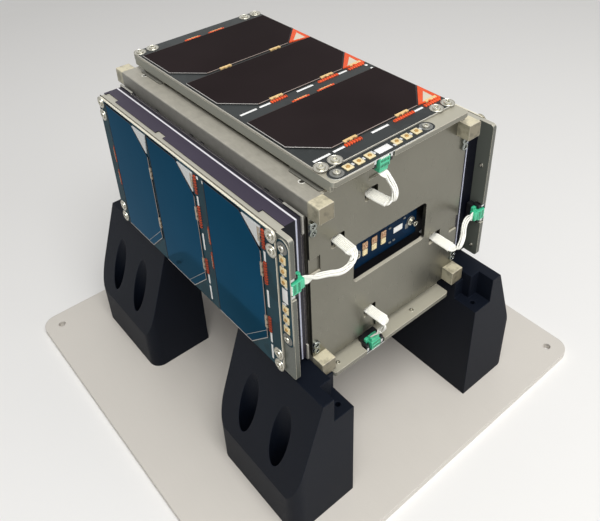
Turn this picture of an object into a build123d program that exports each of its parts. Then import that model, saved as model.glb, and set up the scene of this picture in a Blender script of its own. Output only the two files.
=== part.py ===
"""Small cubic satellite, one and a half units long, standing on its display stand.

Row frame: origin at the centre of the stand's underside, +X to the right, -Y towards the satellite's
front end plate, +Z up. Lengths are in millimetres. Two further frames are used below:

body frame   x across, y = station from the front rail tips, z from the underside of the lower rails
side frame   x across one side, y = station, z outward from the plane of the rails' outer faces
"""
import os
from math import radians, tan

from build123d import *

# ------------------------------------------------------------------ body
BODY_WIDTH = 100.0       # across the rails, both ways
BODY_LENGTH = 170.2      # over the rail tips
RAIL_SIDE = 8.0          # square core of a rail
RAIL_FLANGE = 2.0        # how far a rail's thin flanges reach past its core
RAIL_ROUND = 0.8         # rounding of a rail's outer edge
TIP_REACH = 7.0          # rail tips past the end plates
SHEET = 2.0              # walls, flanges and end plates
RAIL_HOLE_RADIUS = 1.3
RAIL_HOLE_INSET = 7.2    # rail hole from the body's side
RAIL_HOLE_STATION = 19.3 # rail hole from the rail tips at its own end

# ------------------------------------------------------------------ end plates
WINDOW_WIDTH = 48.5
WINDOW_HEIGHT = 23.0
WINDOW_RISE = 0.4        # window centre above the body's axis
WINDOW_ROUND = 2.5
SLOT_WIDTH = 8.0         # slots that let the leads out
SLOT_HEIGHT = 6.5
SLOT_ROUND = 1.0
RECESS_WIDTH = 9.0       # shallow recess at the plate's edge below each plug
RECESS_REACH = 6.0
RECESS_DEPTH = 1.0
REAR_RECESS_SIDE = 52.0  # shallow square recess of the rear plate
REAR_RECESS_ROUND = 6.0

# ------------------------------------------------------------------ connector board and equipment
CONNECTOR_BOARD_GAP = 3.0    # from the end plate to the board behind the window
CONNECTOR_BOARD_WIDTH = 46.0
CONNECTOR_BOARD_HEIGHT = 21.5
CONNECTOR_BOARD_DROP = 9.0   # its lower edge below the body's axis
CONNECTOR_BOARD_THICK = 1.6
CONNECTOR_BOARD_STUD_X = 18.5
CONNECTOR_BOARD_STUD_RADIUS = 2.2
CONNECTOR_BOARD_STUD = 2.4   # stud length, board to equipment
SOCKET_SIDE = 3.6
SOCKET_HEIGHT = 2.0
SOCKET_X = -12.6             # first column of sockets
SOCKET_PITCH = 6.1
SOCKET_COLUMNS = 3
SOCKET_RISE = -3.2           # lower row above the body's axis
SOCKET_ROW_PITCH = 5.8
EQUIPMENT_CLEARANCE = 0.3    # equipment to the side walls
EQUIPMENT_REAR_GAP = 6.2     # equipment to the rear end plate

# ------------------------------------------------------------------ solar panels
PANEL_WIDTH = 83.0
PANEL_FRONT = 1.0        # station of the panel's front edge
PANEL_REAR_INSET = 6.6   # panel's rear edge from the rear rail tips
FRAME_SHEET = 2.4
FRAME_ROUND = 2.0
SKIRT_SHEET = 1.8
SKIRT_HEIGHT = 2.8
SKIRT_GAP = 2.6          # skirt above the rails
SKIRT_SETBACK = 6.5      # a bottom skirt's front end behind a top one's
FOOT_INSET = 1.0         # frame foot inside the skirt's outer face
FOOT_SHEET = 3.0
FOOT_START = 8.5         # frame feet from each end of the panel
FOOT_REACH = 29.0        # their other ends from the same end
LUG_HEIGHT = 2.0         # lugs of a frame that reach down beside its folded pack
LUG_WIDTH = 1.2
LUG_FRONT = 9.4          # stations of the front lugs
LUG_FRONT_END = 23.8
LUG_MIDDLE = 101.0       # stations of the middle lugs
LUG_MIDDLE_END = 108.0
LUG_REAR = 20.4          # rear lugs, from the rear rail tips
LUG_REAR_END = 9.2
BOARD_SHEET = 1.2
BOARD_FRONT = 9.2        # station of the circuit board's front edge
BOARD_MARGIN = 0.3       # circuit board inside the frame's edge
BOARD_ROUND = 2.6
CELL_SHEET = 0.4
CELL_MARGIN = 1.1        # cells inside the frame's edge
CELL_LENGTH = 41.3
CELL_CLIP = 13.9         # clipped corners of a cell's front side
CELL_FRONT = 18.9        # station of the first cell
CELL_WIDE_GAP = 9.7      # first to second cell
CELL_NARROW_GAP = 2.0    # second to third cell

# ------------------------------------------------------------------ strip boards, headers and plugs
STRIP_LENGTH = 61.0
STRIP_WIDTH = 7.5
STRIP_INSET = 0.3        # strip's front edge behind the frame's front edge
STRIP_SHEET = 0.5
STRIP_OFFSET = 9.7       # strip centre from the panel's middle line
NOTCH_WIDTH = 12.5
NOTCH_CLEARANCE = 0.4    # notch behind the plug
PLUG_WIDTH = 6.8
PLUG_FRONT = 1.0         # station of the plug's front face
PLUG_DEPTH = 4.0
PLUG_PROUD = -0.2        # plug's outer end past the frame's outer face
PLUG_LENGTH = 8.5
EAR_REACH = 2.2          # latch ears on the back of the plug's two sides
EAR_LENGTH = 3.0
EAR_DEPTH = 1.8
EAR_DROP = 1.2           # ears from the plug's lead end
HEADER_WIDTH = 10.0
HEADER_DEPTH = 3.6
HEADER_HEIGHT = 3.4

# ------------------------------------------------------------------ folded packs under the side panels
PACK_FRONT = 9.3         # station of a pack's front edge
PACK_REAR_INSET = 7.5    # its rear edge from the rear rail tips
PACK_MARGIN = 0.5        # pack past the panel's sides
TRAY_PAD = 1.2           # pad between a tray's sheet and the rails
PAD_INSET = 1.0          # pad inside the sheet's edge
TRAY_SHEET = 1.0
SPACER_SHEET = 1.8
FILM_SHEET = 0.9
CORE_SHEET = 7.5
SHOULDER_INSET = 0.15    # core's outermost layer, between the lugs, inside the frame's edge
CLIP_SHEET = 1.0         # the sheet's clips round the pack's corners
CLIP_LEG = 11.5
CLIP_CROSS_LEG = 8.5

# ------------------------------------------------------------------ leads
LEAD_DIAMETER = 3.2
LEAD_RADIUS_SHARE = 0.45 # share of the shorter run that a bend takes

# ------------------------------------------------------------------ stand
BASE_SIDE = 245.0
BASE_SHEET = 4.0
BASE_ROUND = 9.0
BASE_HOLE_INSET = 10.5   # corner holes from the plate's sides
BASE_HOLE_RADIUS = 2.25
LEDGE_HEIGHT = 78.75     # rail seats above the base plate
STAND_INNER = 44.6       # inner face of a stand foot from the middle
STAND_OUTER = 83.5
STAND_TOP = 63.4         # outer edge of a stand foot's top
STAND_LIP = 5.0          # side wall above the rail seat
STAND_SKIRT = 26.25      # height of the upright part of the outer side
STAND_FRONT = 15.5       # stand foot past the rail tips
STAND_REACH = 49.0       # stand foot's other end, from the rail tips
STAND_ROUND = 7.0
RAIL_CLEARANCE = 0.5     # rail to the stand's side wall and stop
RAIL_STOP = 1.0          # stop in front of the rail tips
POCKET_DEPTH = 10.8      # front pocket's floor below the rail seat
POCKET_WALL = 6.4        # wall beside the front pocket
POCKET_BACK = 6.0        # front pocket's back wall from the rail tips
POCKET_HOLE_RADIUS = 1.4
POCKET_HOLE_INSET = 4.9  # screw hole from the foot's inner face
POCKET_HOLE_BACK = 9.5   # screw hole in front of the rail tips
BORE_RADIUS = 6.0        # counterbores for the bolts to the base plate
BORE_OFFSET = 9.0        # from the outer side
BORE_SPACING = 25.4
BORE_FLOOR = 12.0        # above the base plate
BOLT_HOLE_RADIUS = 2.6

CUT_OVERRUN = 1.0        # how far a cut runs past the faces it opens

# ------------------------------------------------------------------ values that follow
AXIS = BODY_WIDTH / 2
BODY_RISE = BASE_SHEET + LEDGE_HEIGHT
REAR_TIP = BODY_LENGTH
FRONT_INSIDE = TIP_REACH + SHEET
REAR_INSIDE = BODY_LENGTH - TIP_REACH - SHEET
FLANGE_REACH = RAIL_SIDE + RAIL_FLANGE
CONNECTOR_BOARD_FRONT = FRONT_INSIDE + CONNECTOR_BOARD_GAP
EQUIPMENT_FRONT = CONNECTOR_BOARD_FRONT + CONNECTOR_BOARD_THICK + CONNECTOR_BOARD_STUD
SPACER_LOW = TRAY_PAD + TRAY_SHEET
FILM_LOW = SPACER_LOW + SPACER_SHEET
CORE_LOW = FILM_LOW + FILM_SHEET
PACK_THICK = CORE_LOW + CORE_SHEET
LUG_LOW = PACK_THICK - LUG_HEIGHT
BODY_SEAT = SKIRT_GAP + SKIRT_HEIGHT
PANEL_REAR = BODY_LENGTH - PANEL_REAR_INSET
PANEL_LENGTH = PANEL_REAR - PANEL_FRONT
PACK_REAR = BODY_LENGTH - PACK_REAR_INSET
PACK_HALF = PANEL_WIDTH / 2 + PACK_MARGIN
CELL_SECOND = CELL_FRONT + CELL_LENGTH + CELL_WIDE_GAP
CELL_STATIONS = (CELL_FRONT, CELL_SECOND, CELL_SECOND + CELL_LENGTH + CELL_NARROW_GAP)
STRIP_FRONT = PANEL_FRONT + STRIP_INSET
PLUG_REAR = PLUG_FRONT + PLUG_DEPTH

# side: turn about the long axis, height of the frame's inner face, strip's side, how far across the
# side its plug and the end plate's recess lie, and how far back its skirts start
SIDES = {
    "top": dict(turn=0, seat=BODY_SEAT, strip=-1, plug=-12.8, recess=-11.5, setback=0.0),
    "left": dict(turn=-90, seat=PACK_THICK, strip=1, plug=14.9, recess=14.2),
    "right": dict(turn=90, seat=PACK_THICK, strip=1, plug=12.6, recess=14.2),
    "bottom": dict(turn=180, seat=BODY_SEAT, strip=1, plug=13.8, recess=13.0, setback=SKIRT_SETBACK),
}
PACK_SIDES = ("left", "right")

# lead: middle of its slot (x, z in the body frame) and the free points of its route (x, station, z)
LEADS = {
    "top": dict(slot=(-14.0, 86.5), route=[
        (-14.6, 3.2, 86.5), (-13.2, -5.4, 86.9), (-10.9, -4.6, 94.6),
    ]),
    "left": dict(slot=(-33.8, 71.0), route=[
        (-34.2, 3.5, 72.0), (-35.2, -6.4, 71.6), (-42.8, -6.8, 67.4), (-50.0, -2.6, 68.2),
    ]),
    "right": dict(slot=(32.5, 35.0), route=[
        (33.2, 3.5, 34.2), (35.0, -6.2, 32.4), (39.8, -5.2, 37.5), (43.0, -2.4, 43.6), (49.6, -0.2, 42.8),
    ]),
    "bottom": dict(slot=(-13.0, 14.0), route=[
        (-13.6, 3.6, 14.8), (-12.4, -3.8, 14.4), (-12.6, -2.4, 7.4),
    ]),
}
LEAD_ENTRY = 2.0         # lead's entry behind the plug's front face
LEAD_INSERT = 2.0        # run that would go on into the plug, cut off at its face

# lugs of a frame beside its pack: first and last station
LUGS = (
    (LUG_FRONT, LUG_FRONT_END),
    (LUG_MIDDLE, LUG_MIDDLE_END),
    (BODY_LENGTH - LUG_REAR, BODY_LENGTH - LUG_REAR_END),
)


# ------------------------------------------------------------------ helpers
def block(x0, x1, y0, y1, z0, z1):
    """Box between two corners."""
    return Pos((x0 + x1) / 2, (y0 + y1) / 2, (z0 + z1) / 2) * Box(x1 - x0, y1 - y0, z1 - z0)


def rod(radius, start, end):
    """Round bar along Y from one station to another: start is (x, y, z), end a y."""
    x, y, z = start
    return Pos(x, (y + end) / 2, z) * Rot(90, 0, 0) * Cylinder(radius, abs(end - y))


def slab(width, length, radius, low, high, middle=(0.0, 0.0)):
    """Plate with rounded corners, its sides along X and Y."""
    outline = Pos(middle[0], middle[1], low) * RectangleRounded(width, length, radius)
    return extrude(outline, high - low)


def upright_slab(width, height, radius, front, back, middle):
    """Plate with rounded corners that stands across the body between two stations."""
    outline = Plane(origin=(middle[0], front, middle[1]), x_dir=(1, 0, 0), z_dir=(0, 1, 0))
    return extrude(outline * RectangleRounded(width, height, radius), back - front)


def in_body(shape):
    """From the body frame to the row frame."""
    return Pos(0, -BODY_LENGTH / 2, BODY_RISE) * shape


def on_side(shape, side):
    """From one side's frame to the row frame."""
    turned = Pos(0, 0, AXIS) * Rot(0, SIDES[side]["turn"], 0) * Pos(0, 0, AXIS) * shape
    return in_body(turned)


def side_point(side, x, y, z):
    """A point of one side's frame in the body frame."""
    point = {
        "top": (x, y, BODY_WIDTH + z),
        "bottom": (-x, y, -z),
        "left": (-AXIS - z, y, AXIS + x),
        "right": (AXIS + z, y, AXIS - x),
    }
    return point[side]


def save(name, shape):
    """Write one node."""
    shape.label = name
    export_step(shape, os.path.join("parts", name + ".step"))


# ------------------------------------------------------------------ body
def rail(x_sign, top):
    """Square rail with two thin flanges between the end plates."""
    core = block(AXIS - RAIL_SIDE, AXIS, 0, BODY_LENGTH, 0, RAIL_SIDE)
    outer_edge = core.edges().filter_by(Axis.Y).sort_by(lambda edge: edge.center().X - edge.center().Z)[-1]
    core = fillet(outer_edge, RAIL_ROUND)
    flat = block(AXIS - FLANGE_REACH, AXIS - RAIL_SIDE, FRONT_INSIDE, REAR_INSIDE, 0, SHEET)
    tall = block(AXIS - SHEET, AXIS, FRONT_INSIDE, REAR_INSIDE, RAIL_SIDE, FLANGE_REACH)
    shape = core + flat + tall
    for station in (RAIL_HOLE_STATION, BODY_LENGTH - RAIL_HOLE_STATION):
        shape -= Pos(AXIS - RAIL_HOLE_INSET, station, 0) * Cylinder(RAIL_HOLE_RADIUS, 3 * SHEET)
    if top:
        shape = Pos(0, 0, BODY_WIDTH) * mirror(shape, Plane.XY)
    if x_sign < 0:
        shape = mirror(shape, Plane.YZ)
    return in_body(shape)


def end_sheet(front):
    """End plate, notched round the four rails."""
    shape = block(-AXIS, AXIS, front, front + SHEET, 0, BODY_WIDTH)
    for x in (-AXIS + RAIL_SIDE / 2, AXIS - RAIL_SIDE / 2):
        for z in (RAIL_SIDE / 2, BODY_WIDTH - RAIL_SIDE / 2):
            shape -= Pos(x, front + SHEET / 2, z) * Box(RAIL_SIDE, 2 * SHEET, RAIL_SIDE)
    return shape


def front_end_plate():
    """Front end plate with its window, four lead slots and edge recesses."""
    back = TIP_REACH + 2 * SHEET
    shape = end_sheet(TIP_REACH)
    middle = (0, AXIS + WINDOW_RISE)
    shape -= upright_slab(WINDOW_WIDTH, WINDOW_HEIGHT, WINDOW_ROUND, 0, back, middle)
    for lead in LEADS.values():
        shape -= upright_slab(SLOT_WIDTH, SLOT_HEIGHT, SLOT_ROUND, 0, back, lead["slot"])
    recess = block(-RECESS_WIDTH / 2, RECESS_WIDTH / 2, 0, TIP_REACH + RECESS_DEPTH, -RECESS_REACH, SHEET)
    for data in SIDES.values():
        placed = Pos(0, 0, AXIS) * Rot(0, data["turn"], 0) * Pos(data["recess"], 0, AXIS) * recess
        shape -= placed
    return in_body(shape)


def rear_end_plate():
    """Rear end plate with a shallow square recess."""
    rear = BODY_LENGTH - TIP_REACH
    middle = (0, AXIS)
    shape = end_sheet(REAR_INSIDE)
    shape -= upright_slab(
        REAR_RECESS_SIDE, REAR_RECESS_SIDE, REAR_RECESS_ROUND, rear - RECESS_DEPTH, rear + SHEET, middle
    )
    return in_body(shape)


def wall(side):
    """Wall between the flanges of two rails."""
    half = AXIS - FLANGE_REACH
    return on_side(block(-half, half, FRONT_INSIDE, REAR_INSIDE, -SHEET, 0), side)


def connector_board():
    """Circuit board behind the window, with the two studs that carry it."""
    low = AXIS - CONNECTOR_BOARD_DROP
    back = CONNECTOR_BOARD_FRONT + CONNECTOR_BOARD_THICK
    half = CONNECTOR_BOARD_WIDTH / 2
    shape = block(-half, half, CONNECTOR_BOARD_FRONT, back, low, low + CONNECTOR_BOARD_HEIGHT)
    for x in (-CONNECTOR_BOARD_STUD_X, CONNECTOR_BOARD_STUD_X):
        shape += rod(CONNECTOR_BOARD_STUD_RADIUS, (x, back, AXIS), EQUIPMENT_FRONT)
    return in_body(shape)


def connector_sockets():
    """Square sockets in columns and rows on the connector board."""
    half = SOCKET_SIDE / 2
    front = CONNECTOR_BOARD_FRONT - SOCKET_HEIGHT
    sockets = []
    for column in range(SOCKET_COLUMNS):
        x = SOCKET_X + column * SOCKET_PITCH
        for z in (AXIS + SOCKET_RISE, AXIS + SOCKET_RISE + SOCKET_ROW_PITCH):
            sockets.append(block(x - half, x + half, front, CONNECTOR_BOARD_FRONT, z - half, z + half))
    return in_body(Compound(children=sockets))


def equipment():
    """Electronics and batteries: one plain block between the rails."""
    half = AXIS - SHEET - EQUIPMENT_CLEARANCE
    rear = REAR_INSIDE - EQUIPMENT_REAR_GAP
    return in_body(block(-half, half, EQUIPMENT_FRONT, rear, RAIL_SIDE, BODY_WIDTH - RAIL_SIDE))


# ------------------------------------------------------------------ panels
def lugs():
    """Lugs down both sides of a pack from the panel frame."""
    half = PANEL_WIDTH / 2
    blocks = []
    for low, high in ((-half, LUG_WIDTH - half), (half - LUG_WIDTH, half)):
        for front, rear in LUGS:
            blocks.append(block(low, high, front, min(rear, PANEL_REAR - FRAME_ROUND), LUG_LOW, PACK_THICK))
    return blocks


def panel_frame(side):
    """Panel frame: a plate with a plug notch, on skirts and feet or with lugs."""
    seat = SIDES[side]["seat"]
    half = PANEL_WIDTH / 2
    centre = (0, PANEL_FRONT + PANEL_LENGTH / 2)
    shape = slab(PANEL_WIDTH, PANEL_LENGTH, FRAME_ROUND, seat, seat + FRAME_SHEET, centre)
    plug_x = SIDES[side]["plug"]
    shape -= block(
        plug_x - NOTCH_WIDTH / 2, plug_x + NOTCH_WIDTH / 2,
        PANEL_FRONT - CUT_OVERRUN, PLUG_REAR + NOTCH_CLEARANCE,
        seat - CUT_OVERRUN, seat + FRAME_SHEET + CUT_OVERRUN,
    )
    if side in PACK_SIDES:
        for lug in lugs():
            shape += lug
        return on_side(shape, side)
    skirt_front = PANEL_FRONT + FRAME_ROUND + SIDES[side]["setback"]
    skirt_rear = PANEL_REAR - FRAME_ROUND
    for sign in (-1, 1):
        edges = sorted((sign * (half - SKIRT_SHEET), sign * half))
        shape += block(*edges, skirt_front, skirt_rear, SKIRT_GAP, seat)
        edges = sorted((sign * (half - FOOT_INSET - FOOT_SHEET), sign * (half - FOOT_INSET)))
        shape += block(*edges, PANEL_FRONT + FOOT_START, PANEL_FRONT + FOOT_REACH, 0, seat)
        shape += block(*edges, PANEL_REAR - FOOT_REACH, PANEL_REAR - FOOT_START, 0, seat)
    return on_side(shape, side)


def panel_board(side):
    """Circuit board that fills the frame behind its exposed front bar."""
    low = SIDES[side]["seat"] + FRAME_SHEET
    rear = PANEL_REAR - BOARD_MARGIN
    centre = (0, (BOARD_FRONT + rear) / 2)
    width = PANEL_WIDTH - 2 * BOARD_MARGIN
    return on_side(slab(width, rear - BOARD_FRONT, BOARD_ROUND, low, low + BOARD_SHEET, centre), side)


def panel_cells(side):
    """Solar cells with two clipped corners each."""
    low = SIDES[side]["seat"] + FRAME_SHEET + BOARD_SHEET
    half = PANEL_WIDTH / 2 - CELL_MARGIN
    cells = []
    for station in CELL_STATIONS:
        outline = Polyline(
            (-half + CELL_CLIP, station), (half - CELL_CLIP, station), (half, station + CELL_CLIP),
            (half, station + CELL_LENGTH), (-half, station + CELL_LENGTH), (-half, station + CELL_CLIP),
            close=True,
        )
        cells.append(extrude(Pos(0, 0, low) * make_face(outline), CELL_SHEET))
    return on_side(Compound(children=cells), side)


def panel_strip(side):
    """Narrow round-ended board on the frame's front bar, across the plug's notch."""
    data = SIDES[side]
    low = data["seat"] + FRAME_SHEET
    centre = (data["strip"] * STRIP_OFFSET, STRIP_FRONT + STRIP_WIDTH / 2)
    return on_side(slab(STRIP_LENGTH, STRIP_WIDTH, STRIP_WIDTH * 0.49, low, low + STRIP_SHEET, centre), side)


def header(side):
    """Socket housing under the frame, behind the plug."""
    data = SIDES[side]
    x = data["plug"]
    half = HEADER_WIDTH / 2
    high = data["seat"]
    return on_side(
        block(x - half, x + half, PLUG_REAR, PLUG_REAR + HEADER_DEPTH, high - HEADER_HEIGHT, high), side
    )


def plug_end(side):
    """Height of a plug's lead end in its side's frame."""
    return SIDES[side]["seat"] + FRAME_SHEET + PLUG_PROUD - PLUG_LENGTH


def plug(side):
    """Plug with two latch ears in the frame's notch, its lead end towards the body."""
    x = SIDES[side]["plug"]
    half = PLUG_WIDTH / 2
    low = plug_end(side)
    shape = block(x - half, x + half, PLUG_FRONT, PLUG_REAR, low, low + PLUG_LENGTH)
    ear = low + EAR_DROP
    shape += block(x - half - EAR_REACH, x + half + EAR_REACH, PLUG_REAR - EAR_DEPTH, PLUG_REAR,
                   ear, ear + EAR_LENGTH)
    return on_side(shape, side)


# ------------------------------------------------------------------ packs
def pack_layer(low, high):
    """One flat layer of a folded pack."""
    return block(-PACK_HALF, PACK_HALF, PACK_FRONT, PACK_REAR, low, high)


def pack_tray(side):
    """Tray: a sheet on a pad, with an angle clip round each of the pack's corners."""
    shape = pack_layer(TRAY_PAD, SPACER_LOW)
    pad_half = PACK_HALF - PAD_INSET
    shape += block(-pad_half, pad_half, PACK_FRONT + PAD_INSET, PACK_REAR - PAD_INSET, 0, TRAY_PAD)
    for x_sign in (-1, 1):
        along = sorted((x_sign * PACK_HALF, x_sign * (PACK_HALF + CLIP_SHEET)))
        across = sorted((x_sign * (PACK_HALF + CLIP_SHEET), x_sign * (PACK_HALF - CLIP_CROSS_LEG)))
        for y, inward in ((PACK_FRONT, 1), (PACK_REAR, -1)):
            leg = sorted((y - inward * CLIP_SHEET, y + inward * CLIP_LEG))
            cap = sorted((y - inward * CLIP_SHEET, y))
            shape += block(*along, *leg, TRAY_PAD, SPACER_LOW)
            shape += block(*across, *cap, TRAY_PAD, SPACER_LOW)
    return on_side(shape, side)


def pack_core(side):
    """Folded panels up to the frame, their outermost layer fitted between its lugs."""
    shoulder = PANEL_WIDTH / 2 - SHOULDER_INSET
    layer = block(-shoulder, shoulder, PACK_FRONT, PACK_REAR, LUG_LOW, PACK_THICK)
    for lug in lugs():
        layer -= lug
    return on_side(pack_layer(CORE_LOW, LUG_LOW) + layer, side)


# ------------------------------------------------------------------ leads
def lead_points(side):
    """A lead's route: straight out of the equipment, through its slot and on into its plug's end."""
    x, _, z = LEADS[side]["route"][0]
    entry = Vector(*side_point(side, SIDES[side]["plug"], PLUG_FRONT + LEAD_ENTRY, plug_end(side)))
    last = Vector(*LEADS[side]["route"][-1])
    inside = entry + (entry - last).normalized() * LEAD_INSERT
    return [Vector(x, EQUIPMENT_FRONT, z)] + [Vector(*point) for point in LEADS[side]["route"]] + [inside]


def lead(side):
    """Bundle of thin wires as one round tube of straight runs and tangent arcs, cut off at its plug."""
    points = lead_points(side)
    radii = []
    for before, corner, after in zip(points, points[1:], points[2:]):
        turn = (corner - before).get_angle(after - corner)
        shorter = min((corner - before).length, (after - corner).length)
        radii.append(LEAD_RADIUS_SHARE * shorter / tan(radians(turn / 2)))
    path = FilletPolyline(*points, radius=radii)
    section = Plane(origin=path @ 0, z_dir=path % 0) * Circle(LEAD_DIAMETER / 2)
    tube = sweep(section, path=path)
    swept = tube.volume / (section.area * path.length)
    print(side, "lead: length", round(path.length - LEAD_INSERT, 1), "radii", [round(r, 1) for r in radii],
          "volume share", round(swept, 3))
    beyond = block(-BODY_WIDTH, BODY_WIDTH, -BODY_LENGTH, BODY_LENGTH, plug_end(side), BODY_WIDTH)
    return in_body(tube) - on_side(beyond, side)


# ------------------------------------------------------------------ stand
def base_plate():
    """Square plate with rounded corners and four corner holes."""
    shape = slab(BASE_SIDE, BASE_SIDE, BASE_ROUND, 0, BASE_SHEET)
    half = BASE_SIDE / 2 - BASE_HOLE_INSET
    for x in (-half, half):
        for y in (-half, half):
            shape -= Pos(x, y, BASE_SHEET / 2) * Cylinder(BASE_HOLE_RADIUS, 2 * BASE_SHEET)
    return shape


def stand_foot(x_sign, y_sign):
    """Foot that carries one rail end: slanted outside, rail seat, front pocket and two bolt wells."""
    front = -BODY_LENGTH / 2 - STAND_FRONT
    tip = -BODY_LENGTH / 2
    back = -BODY_LENGTH / 2 + STAND_REACH
    ledge = BODY_RISE
    top = ledge + STAND_LIP
    knee = BASE_SHEET + STAND_SKIRT
    body = block(STAND_INNER, STAND_OUTER, front, back, BASE_SHEET, top)
    body = fillet(body.edges().filter_by(Axis.Z).group_by(Axis.X)[-1], STAND_ROUND)
    side = STAND_OUTER + CUT_OVERRUN
    over = top + CUT_OVERRUN
    slope = Polyline(
        (STAND_OUTER, knee), (side, knee), (side, over), (STAND_TOP, over), (STAND_TOP, top), close=True
    )
    wedge = Plane.XZ.offset(-back - CUT_OVERRUN) * make_face(slope)
    body -= extrude(wedge, back - front + 2 * CUT_OVERRUN)
    seat_side = AXIS + RAIL_CLEARANCE
    wall_side = STAND_TOP - POCKET_WALL
    inner = STAND_INNER - CUT_OVERRUN
    open_end = front - CUT_OVERRUN
    floor = ledge - POCKET_DEPTH
    body -= block(inner, seat_side, tip - RAIL_STOP, back + CUT_OVERRUN, ledge, over)
    body -= block(inner, wall_side, open_end, tip - POCKET_BACK, floor, over)
    body -= block(inner, seat_side, open_end, tip - RAIL_STOP, floor, over)
    screw = Pos(STAND_INNER + POCKET_HOLE_INSET, tip - POCKET_HOLE_BACK, ledge - POCKET_DEPTH)
    body -= screw * Cylinder(POCKET_HOLE_RADIUS, 2 * POCKET_DEPTH)
    bore_x = STAND_OUTER - BORE_OFFSET
    bore_y = (front + back) / 2
    for y in (bore_y - BORE_SPACING / 2, bore_y + BORE_SPACING / 2):
        depth = top - BASE_SHEET - BORE_FLOOR
        body -= Pos(bore_x, y, top - depth / 2) * Cylinder(BORE_RADIUS, depth)
        body -= Pos(bore_x, y, BASE_SHEET + BORE_FLOOR / 2) * Cylinder(BOLT_HOLE_RADIUS, 2 * BORE_FLOOR)
    if x_sign < 0:
        body = mirror(body, Plane.YZ)
    if y_sign > 0:
        body = mirror(body, Plane.XZ)
    return body


# ------------------------------------------------------------------ all nodes
def main():
    """Build every node and write it."""
    os.makedirs("parts", exist_ok=True)
    save("base_plate", base_plate())
    for y_name, y_sign in (("front", -1), ("rear", 1)):
        for x_name, x_sign in (("left", -1), ("right", 1)):
            save("foot_" + y_name + "_" + x_name, stand_foot(x_sign, y_sign))
    for z_name, top in (("bottom", False), ("top", True)):
        for x_name, x_sign in (("left", -1), ("right", 1)):
            save("rail_" + z_name + "_" + x_name, rail(x_sign, top))
    save("end_plate_front", front_end_plate())
    save("end_plate_rear", rear_end_plate())
    save("connector_board", connector_board())
    save("connector_sockets", connector_sockets())
    save("equipment_block", equipment())
    for side in SIDES:
        save("wall_" + side, wall(side))
        save("frame_" + side, panel_frame(side))
        save("board_" + side, panel_board(side))
        save("cells_" + side, panel_cells(side))
        save("strip_" + side, panel_strip(side))
        save("header_" + side, header(side))
        save("plug_" + side, plug(side))
        save("lead_" + side, lead(side))
    for side in PACK_SIDES:
        save("pack_tray_" + side, pack_tray(side))
        save("pack_spacer_" + side, on_side(pack_layer(SPACER_LOW, FILM_LOW), side))
        save("pack_film_" + side, on_side(pack_layer(FILM_LOW, CORE_LOW), side))
        save("pack_core_" + side, pack_core(side))


main()
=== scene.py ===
"""Small cubic satellite on its display stand: stage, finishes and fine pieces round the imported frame."""

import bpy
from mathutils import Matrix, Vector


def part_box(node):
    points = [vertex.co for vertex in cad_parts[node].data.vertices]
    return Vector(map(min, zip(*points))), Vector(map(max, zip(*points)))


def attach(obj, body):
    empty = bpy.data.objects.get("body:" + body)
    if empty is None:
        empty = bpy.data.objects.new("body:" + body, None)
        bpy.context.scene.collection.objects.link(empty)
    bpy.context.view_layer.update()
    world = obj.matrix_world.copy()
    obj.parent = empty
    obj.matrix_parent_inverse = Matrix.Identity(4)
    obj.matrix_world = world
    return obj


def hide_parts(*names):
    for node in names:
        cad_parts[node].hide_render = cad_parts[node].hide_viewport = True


bl_info = {
    "name": "Cubic satellite on a stand",
    "version": (1, 0, 0),
    "blender": (4, 5, 0),
    "location": "View3D > Sidebar > Satellite",
    "description": "Finishes and fine pieces of a small cubic satellite on its display stand",
    "category": "Object",
}

import math

import bpy
import numpy as np
from bpy.props import FloatProperty, FloatVectorProperty, IntProperty, PointerProperty
from mathutils import Matrix, Vector

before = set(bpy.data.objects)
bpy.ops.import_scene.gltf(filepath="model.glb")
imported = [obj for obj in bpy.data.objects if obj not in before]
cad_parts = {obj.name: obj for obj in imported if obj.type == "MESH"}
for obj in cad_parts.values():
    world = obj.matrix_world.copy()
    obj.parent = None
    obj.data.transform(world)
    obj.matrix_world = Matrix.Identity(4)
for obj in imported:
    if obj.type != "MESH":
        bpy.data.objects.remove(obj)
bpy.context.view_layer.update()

MM = 0.001
SIDES = ("top", "left", "right", "bottom")
LEVEL_SIDES = ("top", "bottom")
UPRIGHT_SIDES = ("left", "right")
RAIL_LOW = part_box("rail_bottom_left")[0]
RAIL_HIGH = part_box("rail_top_right")[1]
FRONT_TIP = RAIL_LOW[1] / MM
UNDERSIDE = RAIL_LOW[2] / MM
AXIS = (RAIL_HIGH[2] - RAIL_LOW[2]) / MM / 2
LENGTH = (RAIL_HIGH[1] - RAIL_LOW[1]) / MM
FILLED = 0.05  # how deep a fine piece stands in what carries it, in millimetres
FRAME_SHEET = 2.4  # thickness of a panel frame's plate, in millimetres


# ------------------------------------------------------------------ places
def in_body(points):
    """Metres in the row frame of points (x across, station from the front rail tips, height over the
    rails' underside) in millimetres."""
    return (np.asarray(points, float) + (0, FRONT_TIP, UNDERSIDE)) * MM


def on_side(points, side):
    """Metres in the row frame of one side's points (x across the side, station, height outward from
    the rails' outer faces) in millimetres: the side's frame is turned about the body's long axis."""
    x, y, z = np.asarray(points, float).T
    out = z + AXIS
    across, up = {"top": (x, out), "bottom": (-x, -out), "left": (-out, x), "right": (out, -x)}[side]
    return in_body(np.stack([across, y, up + AXIS], axis=-1))


def side_box(node, side):
    """Lowest and highest corner of a node in one side's frame, in millimetres."""
    low, high = (np.array(corner) / MM - (0, FRONT_TIP, UNDERSIDE + AXIS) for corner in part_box(node))
    corners = np.array([low, high])
    x, y, z = corners.T
    turned = {"top": (x, y, z), "bottom": (-x, y, -z), "left": (z, y, -x), "right": (-z, y, x)}[side]
    local = np.stack(turned, axis=-1) - (0, 0, AXIS)
    return local.min(0), local.max(0)


def top_of(node, side):
    """Height of a node's outermost face over its side's rails, in millimetres."""
    return side_box(f"{node}_{side}", side)[1][2]


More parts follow.
